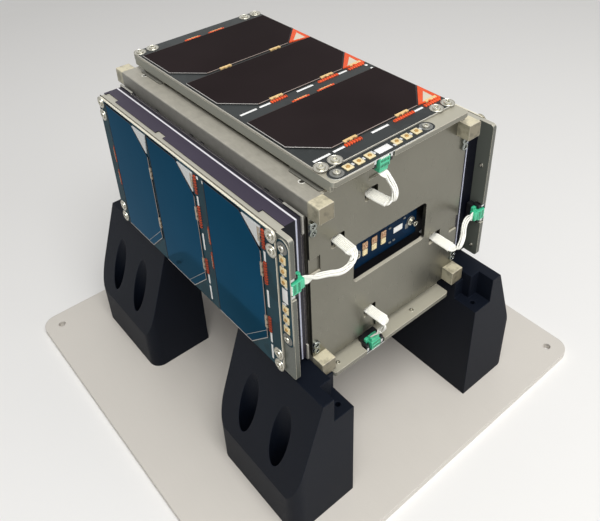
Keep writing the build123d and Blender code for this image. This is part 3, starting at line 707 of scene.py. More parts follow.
def make_materials():
    """Every finish of the object, from the colours in the sidebar."""
    colours = bpy.context.scene.satellite_finishes
    GROUPS.update({"Edge wear": edge_wear_group(), "Grain": grain_group(), "Lines": line_group(),
                   "Facing": facing_group()})
    # Every facing share below darkens the faces across, along or up from the body: painted shade, not a
    # colour of the parts
    plates = dict(metallic=0.8, roughness=0.32, spread=0.06, wear=0.6, wear_colour=PALE, bump=0.012)
    # The frames' pale edges are partly bare worn metal and partly a painted highlight along edges that catch
    # the light
    frames = dict(metallic=0.12, roughness=0.42, cloud=0.05, fine=0.08, wear=0.95,
                  wear_colour=(0.8, 0.74, 0.6), edge=0.00035, broken=0.25)
    # The rims' darker front faces are painted shade
    rims = dict(metallic=0.1, roughness=0.35, cloud=0.05, edge=0.0001, facing={"Along": (0.55, 0.55, 0.55)})
    pads = dict(metallic=0.5, roughness=0.35, cloud=0.12, edge=0.0001)
    MATERIALS.update({
        # The rails' darker faces across and along the body are painted shade
        "rail": parted_finish("rail_metal", rail_tips, colours.rail, (0.66, 0.6, 0.43), 0.12, 0.42, 0.8,
                              facing={"Across": (0.68, 0.7, 0.72), "Along": (0.32, 0.31, 0.29)}),
        # The end plates' pale upward cut edges are partly a painted highlight, and their darker faces across
        # the body are painted shade
        "end_plate": finish("end_plate_metal", colours.end_plate, **plates, cloud=0.14, fine=0.1,
                            stretch=(1, 1, 0.06), facing={"Across": (0.35, 0.35, 0.35)},
                            cut=(0.5, 0.47, 0.38)),
        "wall": finish("wall_metal", colours.end_plate, **plates, cloud=0.05, fine=0.06,
                       stretch=(1, 0.06, 1)),
        "lip": finish("panel_lip_metal", (0.15, 0.145, 0.125), 0.2, 0.42, cloud=0.1, fine=0.1, wear=0.8,
                      wear_colour=(0.4, 0.38, 0.32), broken=0.4),
        "frame_level": finish("panel_frame_level_painted_light", colours.panel_frame, **frames,
                              facing={"Across": (0.64, 0.68, 0.7), "Along": (0.44, 0.44, 0.42),
                                      "Up": (0.93, 0.92, 0.88)}),
        "frame_upright": finish("panel_frame_upright_painted_light", colours.panel_frame, **frames,
                                facing={"Across": (0.27, 0.31, 0.32), "Along": (0.23, 0.25, 0.25)}),
        "tray": parted_finish("tray_metal", pack_clips, (0.02, 0.017, 0.026), (0.42, 0.41, 0.37), 0.3, 0.42,
                              0.3),
        # Pale ring round the rails' holes: a countersink whose brightness is a painted highlight of the lit
        # hole wall
        "rail_hole_highlight": finish("rail_hole_rim_painted_highlight", (0.9, 0.88, 0.8), 0.15, 0.3, cloud=0.05, edge=0.0001),
        # One rim in two colours, bright on the upright panels and darker on the level ones: painted light and
        # shade
        "rim_level": finish("board_rim_level_painted_light", (0.52, 0.5, 0.44), **rims),
        "rim_upright": finish("board_rim_upright_painted_light", (0.8, 0.75, 0.61), **rims),
        # Dark steel with pale rims: painted shade over the end plate screws and painted highlights on their
        # rims
        "plate_screw_shade_and_glint": finish("plate_screw_painted_shade", (0.26, 0.28, 0.26), 1.0, 0.14, spread=0.05, cloud=0.08,
                              wear=0.8, wear_colour=(0.7, 0.7, 0.66), edge=0.00025, broken=0.3),
        "steel": finish("screw_steel", (0.56, 0.545, 0.47), 1.0, 0.2, spread=0.08, cloud=0.12, edge=0.0001),
        "washer": finish("washer_steel", (0.52, 0.505, 0.44), 1.0, 0.24, spread=0.1, cloud=0.16, edge=0.0001),
        "pad": finish("pad_grey", (0.2, 0.205, 0.2), **pads),
        "strip_pad": finish("strip_pad_dark", (0.18, 0.182, 0.17), **pads),
        "dark_steel": finish("bolt_steel", (0.05, 0.05, 0.055), 0.8, 0.35, edge=0.0002),
        "tab_level": finish("tab_gold", (0.86, 0.6, 0.26), 0.35, 0.3, cloud=0.12, edge=0.0001),
        # The upright panels' tabs are the same gold darkened: painted shade
        "tab_upright": finish("tab_gold_upright_painted_shade", (0.4, 0.33, 0.24), 0.35, 0.3, cloud=0.2, edge=0.0001),
        "seam": finish("panel_seam", (0.07, 0.062, 0.042), 0.0, 0.6, edge=0.0001, specular=0.1),
        # The sockets' pale edges are painted highlights
        "socket_gold_painted_edges": finish("socket_gold_painted_edges", (0.8, 0.68, 0.4), 0.25, 0.3, cloud=0.14, wear=0.9,
                              wear_colour=(0.9, 0.84, 0.68), edge=0.00015, broken=0.3),
        "ring_gold": finish("ring_gold", (0.5, 0.31, 0.1), 0.35, 0.3, cloud=0.12, edge=0.0001),
        "copper": finish("copper_plating", (0.52, 0.3, 0.17), 0.5, 0.3, cloud=0.3, wear=0.95,
                         wear_colour=(0.85, 0.7, 0.5), edge=0.00025, broken=0.3),
        "foil": finish("silver_foil", (0.66, 0.67, 0.66), 0.3, 0.35, cloud=0.06, scale=700.0, bump=0.08),
        "cream_foil": finish("cream_foil", (0.66, 0.6, 0.47), 0.2, 0.4, cloud=0.12, scale=700.0, bump=0.08),
        "silver_line": finish("silver_trace", (0.46, 0.44, 0.42), 0.3, 0.35),
        "copper_line": finish("bar_trace", (0.28, 0.22, 0.19), 0.3, 0.4, cloud=0.15),
        "faint_line": finish("border_trace", (0.03, 0.019, 0.017), cloud=0.2, specular=0.2),
        "border_tape": finish("border_tape", colours.tape, cloud=0.2, fine=0.1, specular=0.3),
        "tape_level": ribbed_tape("amber_tape_level", colours.tape, "X"),
        # The upright panels' tape is the same amber at half brightness: painted shade
        "tape_upright": ribbed_tape("amber_tape_upright_painted_shade", shade(colours.tape, 0.5), "Z"),
        "ink": finish("white_ink", (0.86, 0.86, 0.84), 0.0, 0.6, cloud=0.04),
        "label": finish("white_label", (0.82, 0.82, 0.8), 0.0, 0.55, cloud=0.03),
        # The paler green along the plugs' edges is a painted highlight
        "plug": finish("plug_plastic_painted_edges", colours.plug, 0.0, 0.32, cloud=0.12, wear=0.6,
                       wear_colour=(0.2, 0.6, 0.38), edge=0.0002, coat=0.2),
        # Dark green for the contact windows: painted shade of the openings
        "plug_window_shade": finish("plug_window_painted_shade", (0.006, 0.12, 0.06)),
        "black": finish("black_plastic", (0.01, 0.01, 0.012), 0.0, 0.42, cloud=0.15, wear=0.4,
                        wear_colour=(0.05, 0.05, 0.055), specular=0.3),
        "wire": finish("wire_silicone", colours.wire, 0.0, 0.45, cloud=0.04, scale=900.0, bump=0.05),
        "block": finish("equipment_shell", (0.02, 0.02, 0.024), 0.2, cloud=0.12, wear=0.4),
        # The film's darker bluish front and back faces are painted shade
        "film": finish("silver_film", (0.8, 0.785, 0.83), 0.1, 0.3, cloud=0.04,
                       facing={"Along": (0.6, 0.63, 0.72)}),
        "spacer": finish("violet_spacer", (0.016, 0.014, 0.022), 0.0, 0.45, cloud=0.15, specular=0.3),
        "core": laminate("violet_laminate", colours.core, (0.002, 0.0025, 0.006)),
        "base": finish("base_plate_paint", colours.base, cloud=0.02, stretch=(1, 0.04, 1), scale=1800.0,
                       bump=0.05, wear=0.4, wear_colour=(0.8, 0.76, 0.7), edge=0.0008),
        "stand": printed_plastic("stand_plastic", colours.stand, 0.0002),
        # The upright cells' blue and bluish rim tint are painted reflections of a blue sky
        "cells_level": cell_glass("solar_cell_flat_painted_reflection", colours.cell_top, "X", (0.5, 0.5, 0.5)),
        "cells_upright": cell_glass("solar_cell_upright_painted_reflection", colours.cell_side_painted_sky, "Z", (0.5, 0.6, 0.7)),
        "board_level": board_finish("board_mask_level", colours.board, FIBRE, "Z"),
        # The upright boards' and strips' bluish mask is a painted reflection of a blue sky
        "board_upright": board_finish("board_mask_upright_painted_reflection", colours.board_upright, FIBRE, "X", 0.05),
        "strip_level": board_finish("strip_mask_level", colours.board, (0.7, 0.7, 0.67), "Z"),
        "strip_upright": board_finish("strip_mask_upright_painted_reflection", colours.board_upright, (0.45, 0.43, 0.36), "X",
                                      0.05),
        "blue_board": board_finish("board_mask_blue", (0.001, 0.015, 0.042), (0.05, 0.06, 0.08), "Y", 0.05),
    })


# ------------------------------------------------------------------ sizes and colours in the sidebar
def colour_setting(name, description, default):
    """A colour in the sidebar."""
    return FloatVectorProperty(name=name, description=description, default=default, subtype="COLOR",
                               min=0, max=1)


class FinishSettings(bpy.types.PropertyGroup):
    """Colours of the finishes."""

    rail: colour_setting("Rails", "Colour of the rails", (0.37, 0.35, 0.295))
    end_plate: colour_setting("End plates", "Colour of the end plates and walls", (0.21, 0.202, 0.164))
    panel_frame: colour_setting("Frames", "Colour of the panel frames", (0.43, 0.412, 0.345))
    cell_top: colour_setting("Level cells", "Colour of the top and bottom solar cells",
                             (0.031, 0.0235, 0.024))
    # The upright cells' blue is a painted reflection of a blue sky
    cell_side_painted_sky: colour_setting("Upright cells", "Colour of the side solar cells", (0.007, 0.042, 0.083))
    board: colour_setting("Boards", "Colour of the boards' solder mask", (0.021, 0.0245, 0.0245))
    # The upright boards' bluish colour is a painted reflection of a blue sky
    board_upright: colour_setting("Upright boards", "Colour of the side boards' solder mask",
                                  (0.011, 0.045, 0.062))
    core: colour_setting("Pack laminate", "Colour of the folded packs", (0.047, 0.039, 0.06))
    tape: colour_setting("Tape", "Colour of the insulating tape", (0.75, 0.09, 0.02))
    plug: colour_setting("Plugs", "Colour of the plugs", (0.05, 0.48, 0.26))
    wire: colour_setting("Wires", "Colour of the leads' wires", (0.93, 0.92, 0.85))
    base: colour_setting("Base plate", "Colour of the base plate", (0.62, 0.585, 0.53))
    stand: colour_setting("Stand feet", "Colour of the stand's feet", (0.0038, 0.0056, 0.0105))


class LeadSettings(bpy.types.PropertyGroup):
    """Sizes of the leads and plugs."""

    diameter: FloatProperty(name="Lead", description="Diameter of a lead's bundle", default=0.0032,
                            unit="LENGTH", subtype="DISTANCE")
    wires: IntProperty(name="Wires", description="Wires in a lead", default=6, min=2, max=10)
    wire: FloatProperty(name="Wire", description="Diameter of one wire", default=0.0008,
                        unit="LENGTH", subtype="DISTANCE")
    sleeve: FloatProperty(name="Sleeve", description="Length of the flat sleeve from the slot",
                          default=0.0105, unit="LENGTH", subtype="DISTANCE")


class PanelSettings(bpy.types.PropertyGroup):
    """Sizes of the solar panels' fittings."""

    screw: FloatProperty(name="Screw", description="Head diameter of a panel screw", default=0.0039,
                         unit="LENGTH", subtype="DISTANCE")
    washer: FloatProperty(name="Washer", description="Diameter of a panel screw's washer", default=0.0066,
                          unit="LENGTH", subtype="DISTANCE")
    trace: FloatProperty(name="Trace", description="Width of a cell's edge trace", default=0.0004,
                         unit="LENGTH", subtype="DISTANCE")
    socket: FloatProperty(name="Socket", description="Side of a strip board's gold socket", default=0.0039,
                          unit="LENGTH", subtype="DISTANCE")


class StageSettings(bpy.types.PropertyGroup):
    """Strengths of the lights."""

    ambient: FloatProperty(name="Ambient", description="Strength of the surrounding light", default=0.26,
                           min=0)
    key: FloatProperty(name="Key lamp", description="Power of the lamp above", default=21.5, min=0,
                       unit="POWER")
    fill: FloatProperty(name="Fill lamp", description="Power of the lamp in front", default=3.2, min=0,
                        unit="POWER")


# ------------------------------------------------------------------ stage
# In metres and degrees, in the row frame.
CAMERA_PLACE = (-0.18803, -0.24917, 0.35104)
CAMERA_TURN = (-38.7325, 34.1548, -2.1832)  # azimuth, elevation and roll
CAMERA_LENS = 41.75  # focal length in millimetres on a 36 mm sensor
CAMERA_SHIFT = (-0.0072, -0.1638)
FLOOR_COLOUR = (0.82, 0.81, 0.79, 1.0)
FLOOR_LEVEL = -0.0001  # just under the stand
FLOOR_RADIUS = 4
FLOOR_CORNERS = 64
FLOOR_FADE = (0.7, 2.6)  # distances between which the floor fades into the surroundings
SEEN_STRENGTH = 0.95  # the surroundings as the camera and reflections see them
LAMP_TARGET = (0, 0, 0.1)


def look_matrix(place, azimuth, elevation, roll):
    """Camera matrix: it stands at place and looks down along the azimuth and elevation, rolled about
    its own axis."""
    a, e, r = (math.radians(value) for value in (azimuth, elevation, roll))
    back = Vector((math.sin(a) * math.cos(e), -math.cos(a) * math.cos(e), math.sin(e)))
    right = Vector((0, 0, 1)).cross(back).normalized()
    up = back.cross(right)
    turned_right = math.cos(r) * right + math.sin(r) * up
    turned_up = -math.sin(r) * right + math.cos(r) * up
    matrix = Matrix((turned_right, turned_up, back)).transposed().to_4x4()
    matrix.translation = Vector(place)
    return matrix


def add_lamp(name, place, size, power):
    """Square soft lamp that faces the satellite."""
    data = bpy.data.lights.new(name, "AREA")
    data.size = size
    data.energy = power
    lamp = bpy.data.objects.new(name, data)
    lamp.location = place
    lamp.rotation_euler = (Vector(LAMP_TARGET) - Vector(place)).to_track_quat("-Z", "Y").to_euler()
    bpy.context.scene.collection.objects.link(lamp)


def add_camera():
    """The scene's camera."""
    data = bpy.data.cameras.new("camera")
    data.sensor_width = 36.0
    data.lens = CAMERA_LENS
    data.shift_x, data.shift_y = CAMERA_SHIFT
    data.clip_start = 0.01
    camera = bpy.data.objects.new("camera", data)
    camera.matrix_world = look_matrix(CAMERA_PLACE, *CAMERA_TURN)
    bpy.context.scene.collection.objects.link(camera)
    bpy.context.scene.camera = camera


def add_floor():
    """Round pale floor that fades into the surroundings far from the stand."""
    material, tree, surface, place = new_material("stage_floor")
    feed_named(tree, surface, Base_Color=FLOOR_COLOUR, Roughness=0.9, Specular_IOR_Level=0.1)
    far = shader(tree, "ShaderNodeVectorMath", {0: place}, operation="LENGTH").outputs["Value"]
    glow = shader(tree, "ShaderNodeEmission", {"Color": (0.95, 0.95, 0.95, 1.0), "Strength": 1.0})
    blend = shader(tree, "ShaderNodeMixShader",
                   {0: remap(tree, far, *FLOOR_FADE), 1: surface.outputs[0], 2: glow.outputs[0]})
    tree.links.new(blend.outputs[0], tree.nodes["Material Output"].inputs["Surface"])
    edge = circle(FLOOR_RADIUS, FLOOR_CORNERS)
    mesh = bpy.data.meshes.new("stage_floor")
    points = np.column_stack([edge, np.full(FLOOR_CORNERS, FLOOR_LEVEL)])
    mesh.from_pydata(points.tolist(), [], [list(range(FLOOR_CORNERS))])
    mesh.materials.append(material)
    floor = bpy.data.objects.new("stage_floor", mesh)
    bpy.context.scene.collection.objects.link(floor)


def add_surroundings(ambient):
    """White surroundings that light the scene softly, and are bright to the camera and in reflections."""
    world = bpy.data.worlds.new("surroundings")
    world.use_nodes = True
    bpy.context.scene.world = world
    tree = world.node_tree
    tree.nodes.clear()
    rays = shader(tree, "ShaderNodeLightPath").outputs
    seen = math_node(tree, "MAXIMUM", rays["Is Camera Ray"],
                     math_node(tree, "MAXIMUM", rays["Is Glossy Ray"], rays["Is Transmission Ray"]))
    light = shader(tree, "ShaderNodeBackground",
                   {"Color": (1, 1, 1, 1), "Strength": remap(tree, seen, 0.0, 1.0, ambient, SEEN_STRENGTH)})
    end = shader(tree, "ShaderNodeOutputWorld")
    tree.links.new(light.outputs[0], end.inputs["Surface"])


class SATELLITE_OT_stage(bpy.types.Operator):
    """Camera, pale floor, lamps and surroundings"""

    bl_idname = "satellite.stage"
    bl_label = "Stage"

    def execute(self, context):
        add_camera()
        add_floor()
        stage = context.scene.satellite_stage
        add_surroundings(stage.ambient)
        add_lamp("key_lamp", (-0.25, -0.62, 1.42), 0.9, stage.key)
        add_lamp("fill_lamp", (0.35, -1.0, 0.55), 0.8, stage.fill)
        context.scene.view_settings.view_transform = "Standard"
        return {"FINISHED"}


# ------------------------------------------------------------------ finishes of the frame's own nodes
class SATELLITE_OT_finishes(bpy.types.Operator):
    """Materials of every node of the frame"""

    bl_idname = "satellite.finishes"
    bl_label = "Finishes"

    def execute(self, context):
        make_materials()
        names = list(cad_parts)
        kinds = {
            "rail_": "rail", "end_plate_": "end_plate", "wall_": "wall",
            "pack_tray_": "tray", "pack_spacer_": "spacer", "pack_film_": "film", "pack_core_": "core",
            "header_": "black", "plug_": "plug", "lead_": "wire", "foot_": "stand", "base_plate": "base",
            "connector_board": "blue_board", "connector_sockets": "copper", "equipment_block": "block",
        }
        for start, kind in kinds.items():
            dress([name for name in names if name.startswith(start)], kind)
        for side in SIDES:
            for part in ("cells", "frame", "board", "strip"):
                dress([f"{part}_{side}"], f"{part}_{lie_of(side)}")
        return {"FINISHED"}


# ------------------------------------------------------------------ solar cells' traces, tabs and marks
# Stations, and spans from low to high x, in millimetres in each side's frame: the same on all panels.
CELL_FRONTS = (18.9, 69.9, 113.2)
TABBED_CELLS = CELL_FRONTS[:2]
CELL_LENGTH = 41.3
CELL_CLIP = 13.9
CLIP_LINE = 4.5  # how far in from a cell's clipped corner the line along it lies
CLIP_LINE_GAP = 1.4
TAB_TEETH = (0.7, 0.1, 0.8, 0.15, 0.6)
TAB_SPANS = ((-19.5, -12.0), (12.1, 19.9), (31.5, 39.0))
TAPE_SPANS = ((-21.0, -11.0), (8.4, 21.8), (28.3, 39.3))
RIB_PITCH = 1.5
REAR_TAB_SPANS = ((-18.8, -12.0), (13.4, 20.2))
LOW_TAPE_SPANS = ((-13.2, -2.7), (2.4, 13.0))
LOW_TAPE_STATIONS = (61.2, 155.7)
DASH_SPANS = ((-38.5, -29.2), (-27.5, -21.2), (-5.2, 5.0), (21.8, 27.3))
DOT_PLACES = ((38.7, 65.3), (38.5, 60.9))
PANEL_SCREW_ACROSS = (-38.7, -31.0, 31.0, 38.7)
PANEL_SCREW_STATIONS = (11.6, 160.3)


def on_spans(spans, station, height, make):
    """A shape as long as each span, which make gives for the length, at the span's middle."""
    return [moved(make(high - low), ((low + high) / 2, station, height)) for low, high in spans]


def trace(line, width, face, rise):
    """A flat strip along a line on a face."""
    return band(line, width, face - FILLED, face + rise)


class SATELLITE_OT_traces(bpy.types.Operator):
    """Silver edge traces and collecting bars of the solar cells"""

    bl_idname = "satellite.traces"
    bl_label = "Cell traces"

    def execute(self, context):
        width = context.scene.satellite_panels.trace / MM
        for side in SIDES:
            face = top_of("cells", side)
            half = half_width("cells", side) - width / 2
            edge = half - CELL_CLIP
            pale, faint, bars = [], [], []
            for front in CELL_FRONTS:
                near, clip, rear = front + width / 2, front + CELL_CLIP, front + CELL_LENGTH - width / 2
                pale.append(trace([(-half, rear), (-half, clip), (-edge, near)], width, face, 0.1))
                bars.append(trace([(-edge, near), (edge, near)], width * 1.25, face, 0.12))
                border = [(edge, near), (half, clip), (half, rear), (-half + width, rear)]
                faint.append(trace(border, width * 0.8, face, 0.08))
                if lie_of(side) == "upright":
                    inner = CLIP_LINE * math.sqrt(0.5)
                    slant = [(-half + width, clip + 2 * inner - CLIP_LINE_GAP),
                             (-edge + 2 * inner - CLIP_LINE_GAP, near)]
                    pale.append(trace(slant, 0.22, face, 0.06))
            add_on_side("cell_traces", joined(pale), side, "silver_line", "gold")
            add_on_side("cell_bars", joined(bars), side, "copper_line", "gold")
            add_on_side("cell_borders", joined(faint), side, "faint_line", "gold")
        return {"FINISHED"}


class SATELLITE_OT_tabs(bpy.types.Operator):
    """Gold tabs from the cells to the board, with ribbed amber tape in front of them"""

    bl_idname = "satellite.tabs"
    bl_label = "Cell tabs"

    def execute(self, context):
        for side in SIDES:
            board, cell = top_of("board", side), top_of("cells", side)
            base = board - FILLED
            gold, tape, streaks = [], [], []
            for front in TABBED_CELLS:
                gold += on_spans(TAB_SPANS, front, 0,
                                 lambda length: stepped(length, 0.95, TAB_TEETH, base, cell + 0.3))
                tape += on_spans(TAPE_SPANS, front - 2.2, board,
                                 lambda length: ribbed(length, 1.9, 0.6, round(length / RIB_PITCH)))
            gold += on_spans(REAR_TAB_SPANS, CELL_FRONTS[2] - 0.5, 0,
                             lambda length: stepped(length, 0.9, TAB_TEETH[::-1], base, cell + 0.35))
            for station in LOW_TAPE_STATIONS:
                tape += on_spans(LOW_TAPE_SPANS, station, board, lambda length: ribbed(length, 1.5, 0.5, 6))
                streaks += on_spans(LOW_TAPE_SPANS, station, board + 0.4,
                                    lambda length: bevelled(length - 3, 0.35, 0.25, 0.17, 0.08))
            metal = f"tab_{lie_of(side)}"
            add_on_side("cell_tabs", joined(gold), side, metal, "gold", sharp=25.0)
            add_on_side("tapes", joined(tape), side, f"tape_{lie_of(side)}", "gold")
            add_on_side("tape_streaks", joined(streaks), side, metal, "gold")
        return {"FINISHED"}


class SATELLITE_OT_marks(bpy.types.Operator):
    """White dashes and corner triangles of the boards"""

    bl_idname = "satellite.marks"
    bl_label = "Board marks"

    def execute(self, context):
        for side in SIDES:
            board, cell = top_of("board", side), top_of("cells", side)
            level = lie_of(side) == "level"
            dashes, borders, inners = [], [], []
            for front in TABBED_CELLS:
                dashes += on_spans(DASH_SPANS, front - 2.3, board - FILLED,
                                   lambda length: bevelled(length, 1.25, 0.12 + FILLED, 0.12, 0.04))
            dot = bevelled(1.5, 1.5, 0.2 + FILLED, 0.1, 0.05)
            dashes.append(copies(dot, [(*place, board - FILLED) for place in DOT_PLACES]))
            for front in CELL_FRONTS:
                if level:
                    inner = [(30.6, front + 0.7), (37.8, front - 0.6), (38.3, front + 7.6)]
                    outer = [(27.2, front + 0.3), (40.3, front - 1.9), (40.6, front + 13.4)]
                    borders.append(plate(outer, board - FILLED, cell + 0.12))
                else:
                    inner = [(28.6, front + 0.4), (39.8, front - 0.9), (39.6, front + 12.2)]
                inners.append(plate(inner, board - FILLED, cell + 0.2))
            add_on_side("board_dashes", joined(dashes), side, "ink", "white_film")
            foil = "cream_foil" if level else "foil"
            add_on_side("corner_diodes", joined(inners), side, foil, "white_film")
            if borders:
                add_on_side("corner_borders", joined(borders), side, "border_tape", "gold")
        return {"FINISHED"}


class SATELLITE_OT_panel_screws(bpy.types.Operator):
    """Rims of the circuit boards, and paired socket screws with washers at the panels' corners"""

    bl_idname = "satellite.panel_screws"
    bl_label = "Panel screws"

    def execute(self, context):
        settings = context.scene.satellite_panels
        head, washer = settings.screw / MM / 2, settings.washer / MM / 2
        places = [(x, station) for x in PANEL_SCREW_ACROSS for station in PANEL_SCREW_STATIONS]
        for side in SIDES:
            face = top_of("board", side)
            heads = copies(screw_head(head, 0.75, head * 0.45), [(*place, face + 0.25) for place in places])
            dish = rim(circle(washer * 0.9, 32), circle(head * 0.8, 32), -FILLED, 0.3)
            raised = turned_ring(washer * 0.97, 0.42, 0.5)
            washers = copies(joined([dish, raised]), [(*place, face) for place in places])
            low, high = side_box(f"board_{side}", side)
            size = (high - low)[:2]
            middle = (*(low + high)[:2] / 2, low[2])
            edge = [rounded_outline(*(size + 2 * out), 2.5 + out, 5) for out in (0.28, -0.1)]
            board_rim = moved(rim(*edge, 0.28, face - low[2] - 0.15), middle)
            add_on_side("board_rims", board_rim, side, f"rim_{lie_of(side)}", "frame_metal")
            add_on_side("panel_screws", heads, side, "steel", "body_metal")
            add_on_side("panel_washers", washers, side, "washer", "body_metal")
        return {"FINISHED"}


# ------------------------------------------------------------------ strips, plugs and headers
# Millimetres in each side's frame; a strip's own parts are placed from its middle.
STRIP_STATION = 5.05
STRIP_OFFSET = 9.7
STRIP_END = 26.3
SOCKET_OFFSETS = (8.0, 14.1, 20.2)
PLUG_WIDTH = 6.0
PLUG_DEPTH = 4.0
PLUG_FRONT = 1.0
PLUG_LENGTH = 7.2
PLUG_COLUMNS = np.linspace(-2.1, 2.1, 6)
PLUG_PROUD = -0.2  # of the plug's outer end over the frame's bar
PLUG_ACROSS = {"top": -12.8, "left": 14.9, "right": 12.6, "bottom": 13.8}
EAR_SIDE = {"top": 1, "left": 1, "right": -1, "bottom": 1}  # which way the latch ear sticks out


def strip_centre(side):
    """Middle of a side's strip board across the side."""
    return STRIP_OFFSET * (-1 if side == "top" else 1)


class SATELLITE_OT_strips(bpy.types.Operator):
    """Gold sockets, blank label, pads and screws of the strip boards at the panels' front edges"""

    bl_idname = "satellite.strips"
    bl_label = "Strip fittings"

    def execute(self, context):
        width = context.scene.satellite_panels.socket / MM
        socket = bevelled(width, width, 0.45 + FILLED, 0.3, 0.08, middle=(0, 0, -FILLED))
        ring = moved(cup(0.95, 0.5, 0.35), (0, 0, 0.42))
        tab = bevelled(1.1, 1.5, 0.3 + FILLED, 0.12, 0.06, middle=(0, 0, -FILLED))
        pad = turned_profile([(3.1, -FILLED, 0), (3.1, 0.2, 0), (2.9, 0.32, 0), (2.0, 0.32, 0),
                              (1.9, 0.2, 0), (0.2, 0.2, 0)])
        head, nut = screw_head(1.65, 0.8, 0.7), turned_over(screw_head(1.15, 0.5, 0.5))
        for side in SIDES:
            face, centre = top_of("strip", side), strip_centre(side)
            spots = [(centre + s * x, STRIP_STATION, face) for s in (-1, 1) for x in SOCKET_OFFSETS]
            tabs = [(x + 2.9, y + 0.3, z) for x, y, z in spots]
            tabs += [(centre + x, STRIP_STATION + y, face) for x, y in ((5.6, -1.2), (-5.5, 1.3))]
            label = bevelled(8.0, 3.6, 0.16, 0.25, 0.04, middle=(centre, STRIP_STATION, face - 0.02))
            ends = [(centre + s * STRIP_END, STRIP_STATION, face) for s in (-1, 1)]
            heads = copies(head, [(x, y, z + 0.2) for x, y, z in ends])
            nuts = copies(nut, [(x, y, bar_face(side) - FRAME_SHEET) for x, y, _ in ends])
            add_on_side("strip_sockets", copies(socket, spots), side, "socket_gold_painted_edges", "gold")
            add_on_side("strip_rings", copies(ring, spots), side, "ring_gold", "gold")
            add_on_side("strip_tabs", copies(tab, tabs), side, "foil", "gold")
            add_on_side("strip_label", label, side, "label", "white_film")
            add_on_side("strip_pads", copies(pad, ends), side, "strip_pad", "black_plastic")
            add_on_side("strip_screws", joined([heads, nuts]), side, "washer", "body_metal")
        return {"FINISHED"}


def plug_body(ear_side):
    """Plug in its own frame (x across, y back from its front face, z outward, 0 at its outer end):
    bevelled housing, narrower collar at the lead end, and a latch ear with a hole beside its back."""
    depth = PLUG_DEPTH / 2
    housing = bevelled(PLUG_WIDTH, PLUG_DEPTH, 5.0, 0.35, 0.25, middle=(0, depth, -5.0))
    collar = bevelled(PLUG_WIDTH - 0.8, PLUG_DEPTH - 0.6, 2.6, 0.3, 0.2,
                      middle=(0, depth + 0.1, -PLUG_LENGTH))
    rib = bevelled(0.5, 0.35, 4.4, 0.15, 0.1, middle=(0, 0.0, -4.7))
    ribs = copies(rib, [(x, 0, 0) for x in (-2.7, 2.7)])
    lip = bevelled(PLUG_WIDTH - 1.0, 0.4, 0.6, 0.15, 0.1, middle=(0, 0.0, -2.9))
    outline = rounded_outline(2.2, 2.6, 0.5, 4)
    hole = np.roll(circle(0.4, len(outline)), -2, axis=0)
    points, faces = rim(outline, hole, 0, 1.4)
    ear = points[:, (0, 2, 1)] * (1, 1, -1) + (ear_side * (PLUG_WIDTH / 2 + 0.7), 2.5, -5.4)
    return joined([housing, collar, ribs, lip, (ear, faces)])


class SATELLITE_OT_plugs(bpy.types.Operator):
    """Plug shells with contact windows and pins, and the headers that hold them"""

    bl_idname = "satellite.plugs"
    bl_label = "Plugs"

    def execute(self, context):
        window = bevelled(0.55, 0.24, 1.2, 0.1, 0.06)
        pin = bevelled(0.45, 1.6, 0.5, 0.12, 0.08)
        wing = bevelled(2.0, 4.0, 4.0, 0.3, 0.2)
        leg, foot = bevelled(1.3, 1.0, 0.35, 0.15, 0.08), bevelled(1.3, 0.3, 2.2, 0.1, 0.08)
        for side in SIDES:
            place = np.array((PLUG_ACROSS[side], PLUG_FRONT, bar_face(side) + PLUG_PROUD))
            add_on_side("plug_shell", moved(plug_body(EAR_SIDE[side]), place), side, "plug",
                        "green_plastic", sharp=30.0, replaces=[f"plug_{side}"])
            # The windows are dark blocks that stand for the shade inside the contact openings: painted shade
            windows = copies(window, [place + (x, 0.05, z) for x in PLUG_COLUMNS for z in (-2.1, -4.5)])
            add_on_side("plug_windows", windows, side, "plug_window_shade", "green_plastic")
            pins = copies(pin, [place + (x, 0.6, -0.25) for x in PLUG_COLUMNS])
            add_on_side("plug_pins", pins, side, "ink", "white_wire")
            across, seat = PLUG_ACROSS[side], top_of("header", side)
            wings = copies(wing, [(across + x, 3.9, seat - 1.9) for x in (-4.75, 4.75)])
            legs = [(across + x, 2.3, seat + 2.15) for x in (-4.8, 4.8)]
            feet = [(across + x, 1.8, seat + 0.2) for x in (-4.8, 4.8)]
            contacts = joined([copies(leg, legs), copies(foot, feet)])
            add_on_side("header_wings", wings, side, "black", "black_plastic")
            add_on_side("header_legs", contacts, side, "foil", "body_metal")
        return {"FINISHED"}


# ------------------------------------------------------------------ board behind the window
# Columns and heights of its sockets, contacts and screws, in millimetres as facing_front takes them.
WINDOW_COLUMNS = (-12.6, -6.5, -0.4)
SOCKET_HEIGHT = 52.4
CONTACT_HEIGHT = 48.3
WINDOW_SCREWS = ((18.6, 50.4, 0), (-17.6, 49.1, 0))
CHIP_PLACES = ((4.2, 44.6, 0), (7.0, 44.6, 0), (3.9, 53.6, 0), (13.9, 54.6, 0))


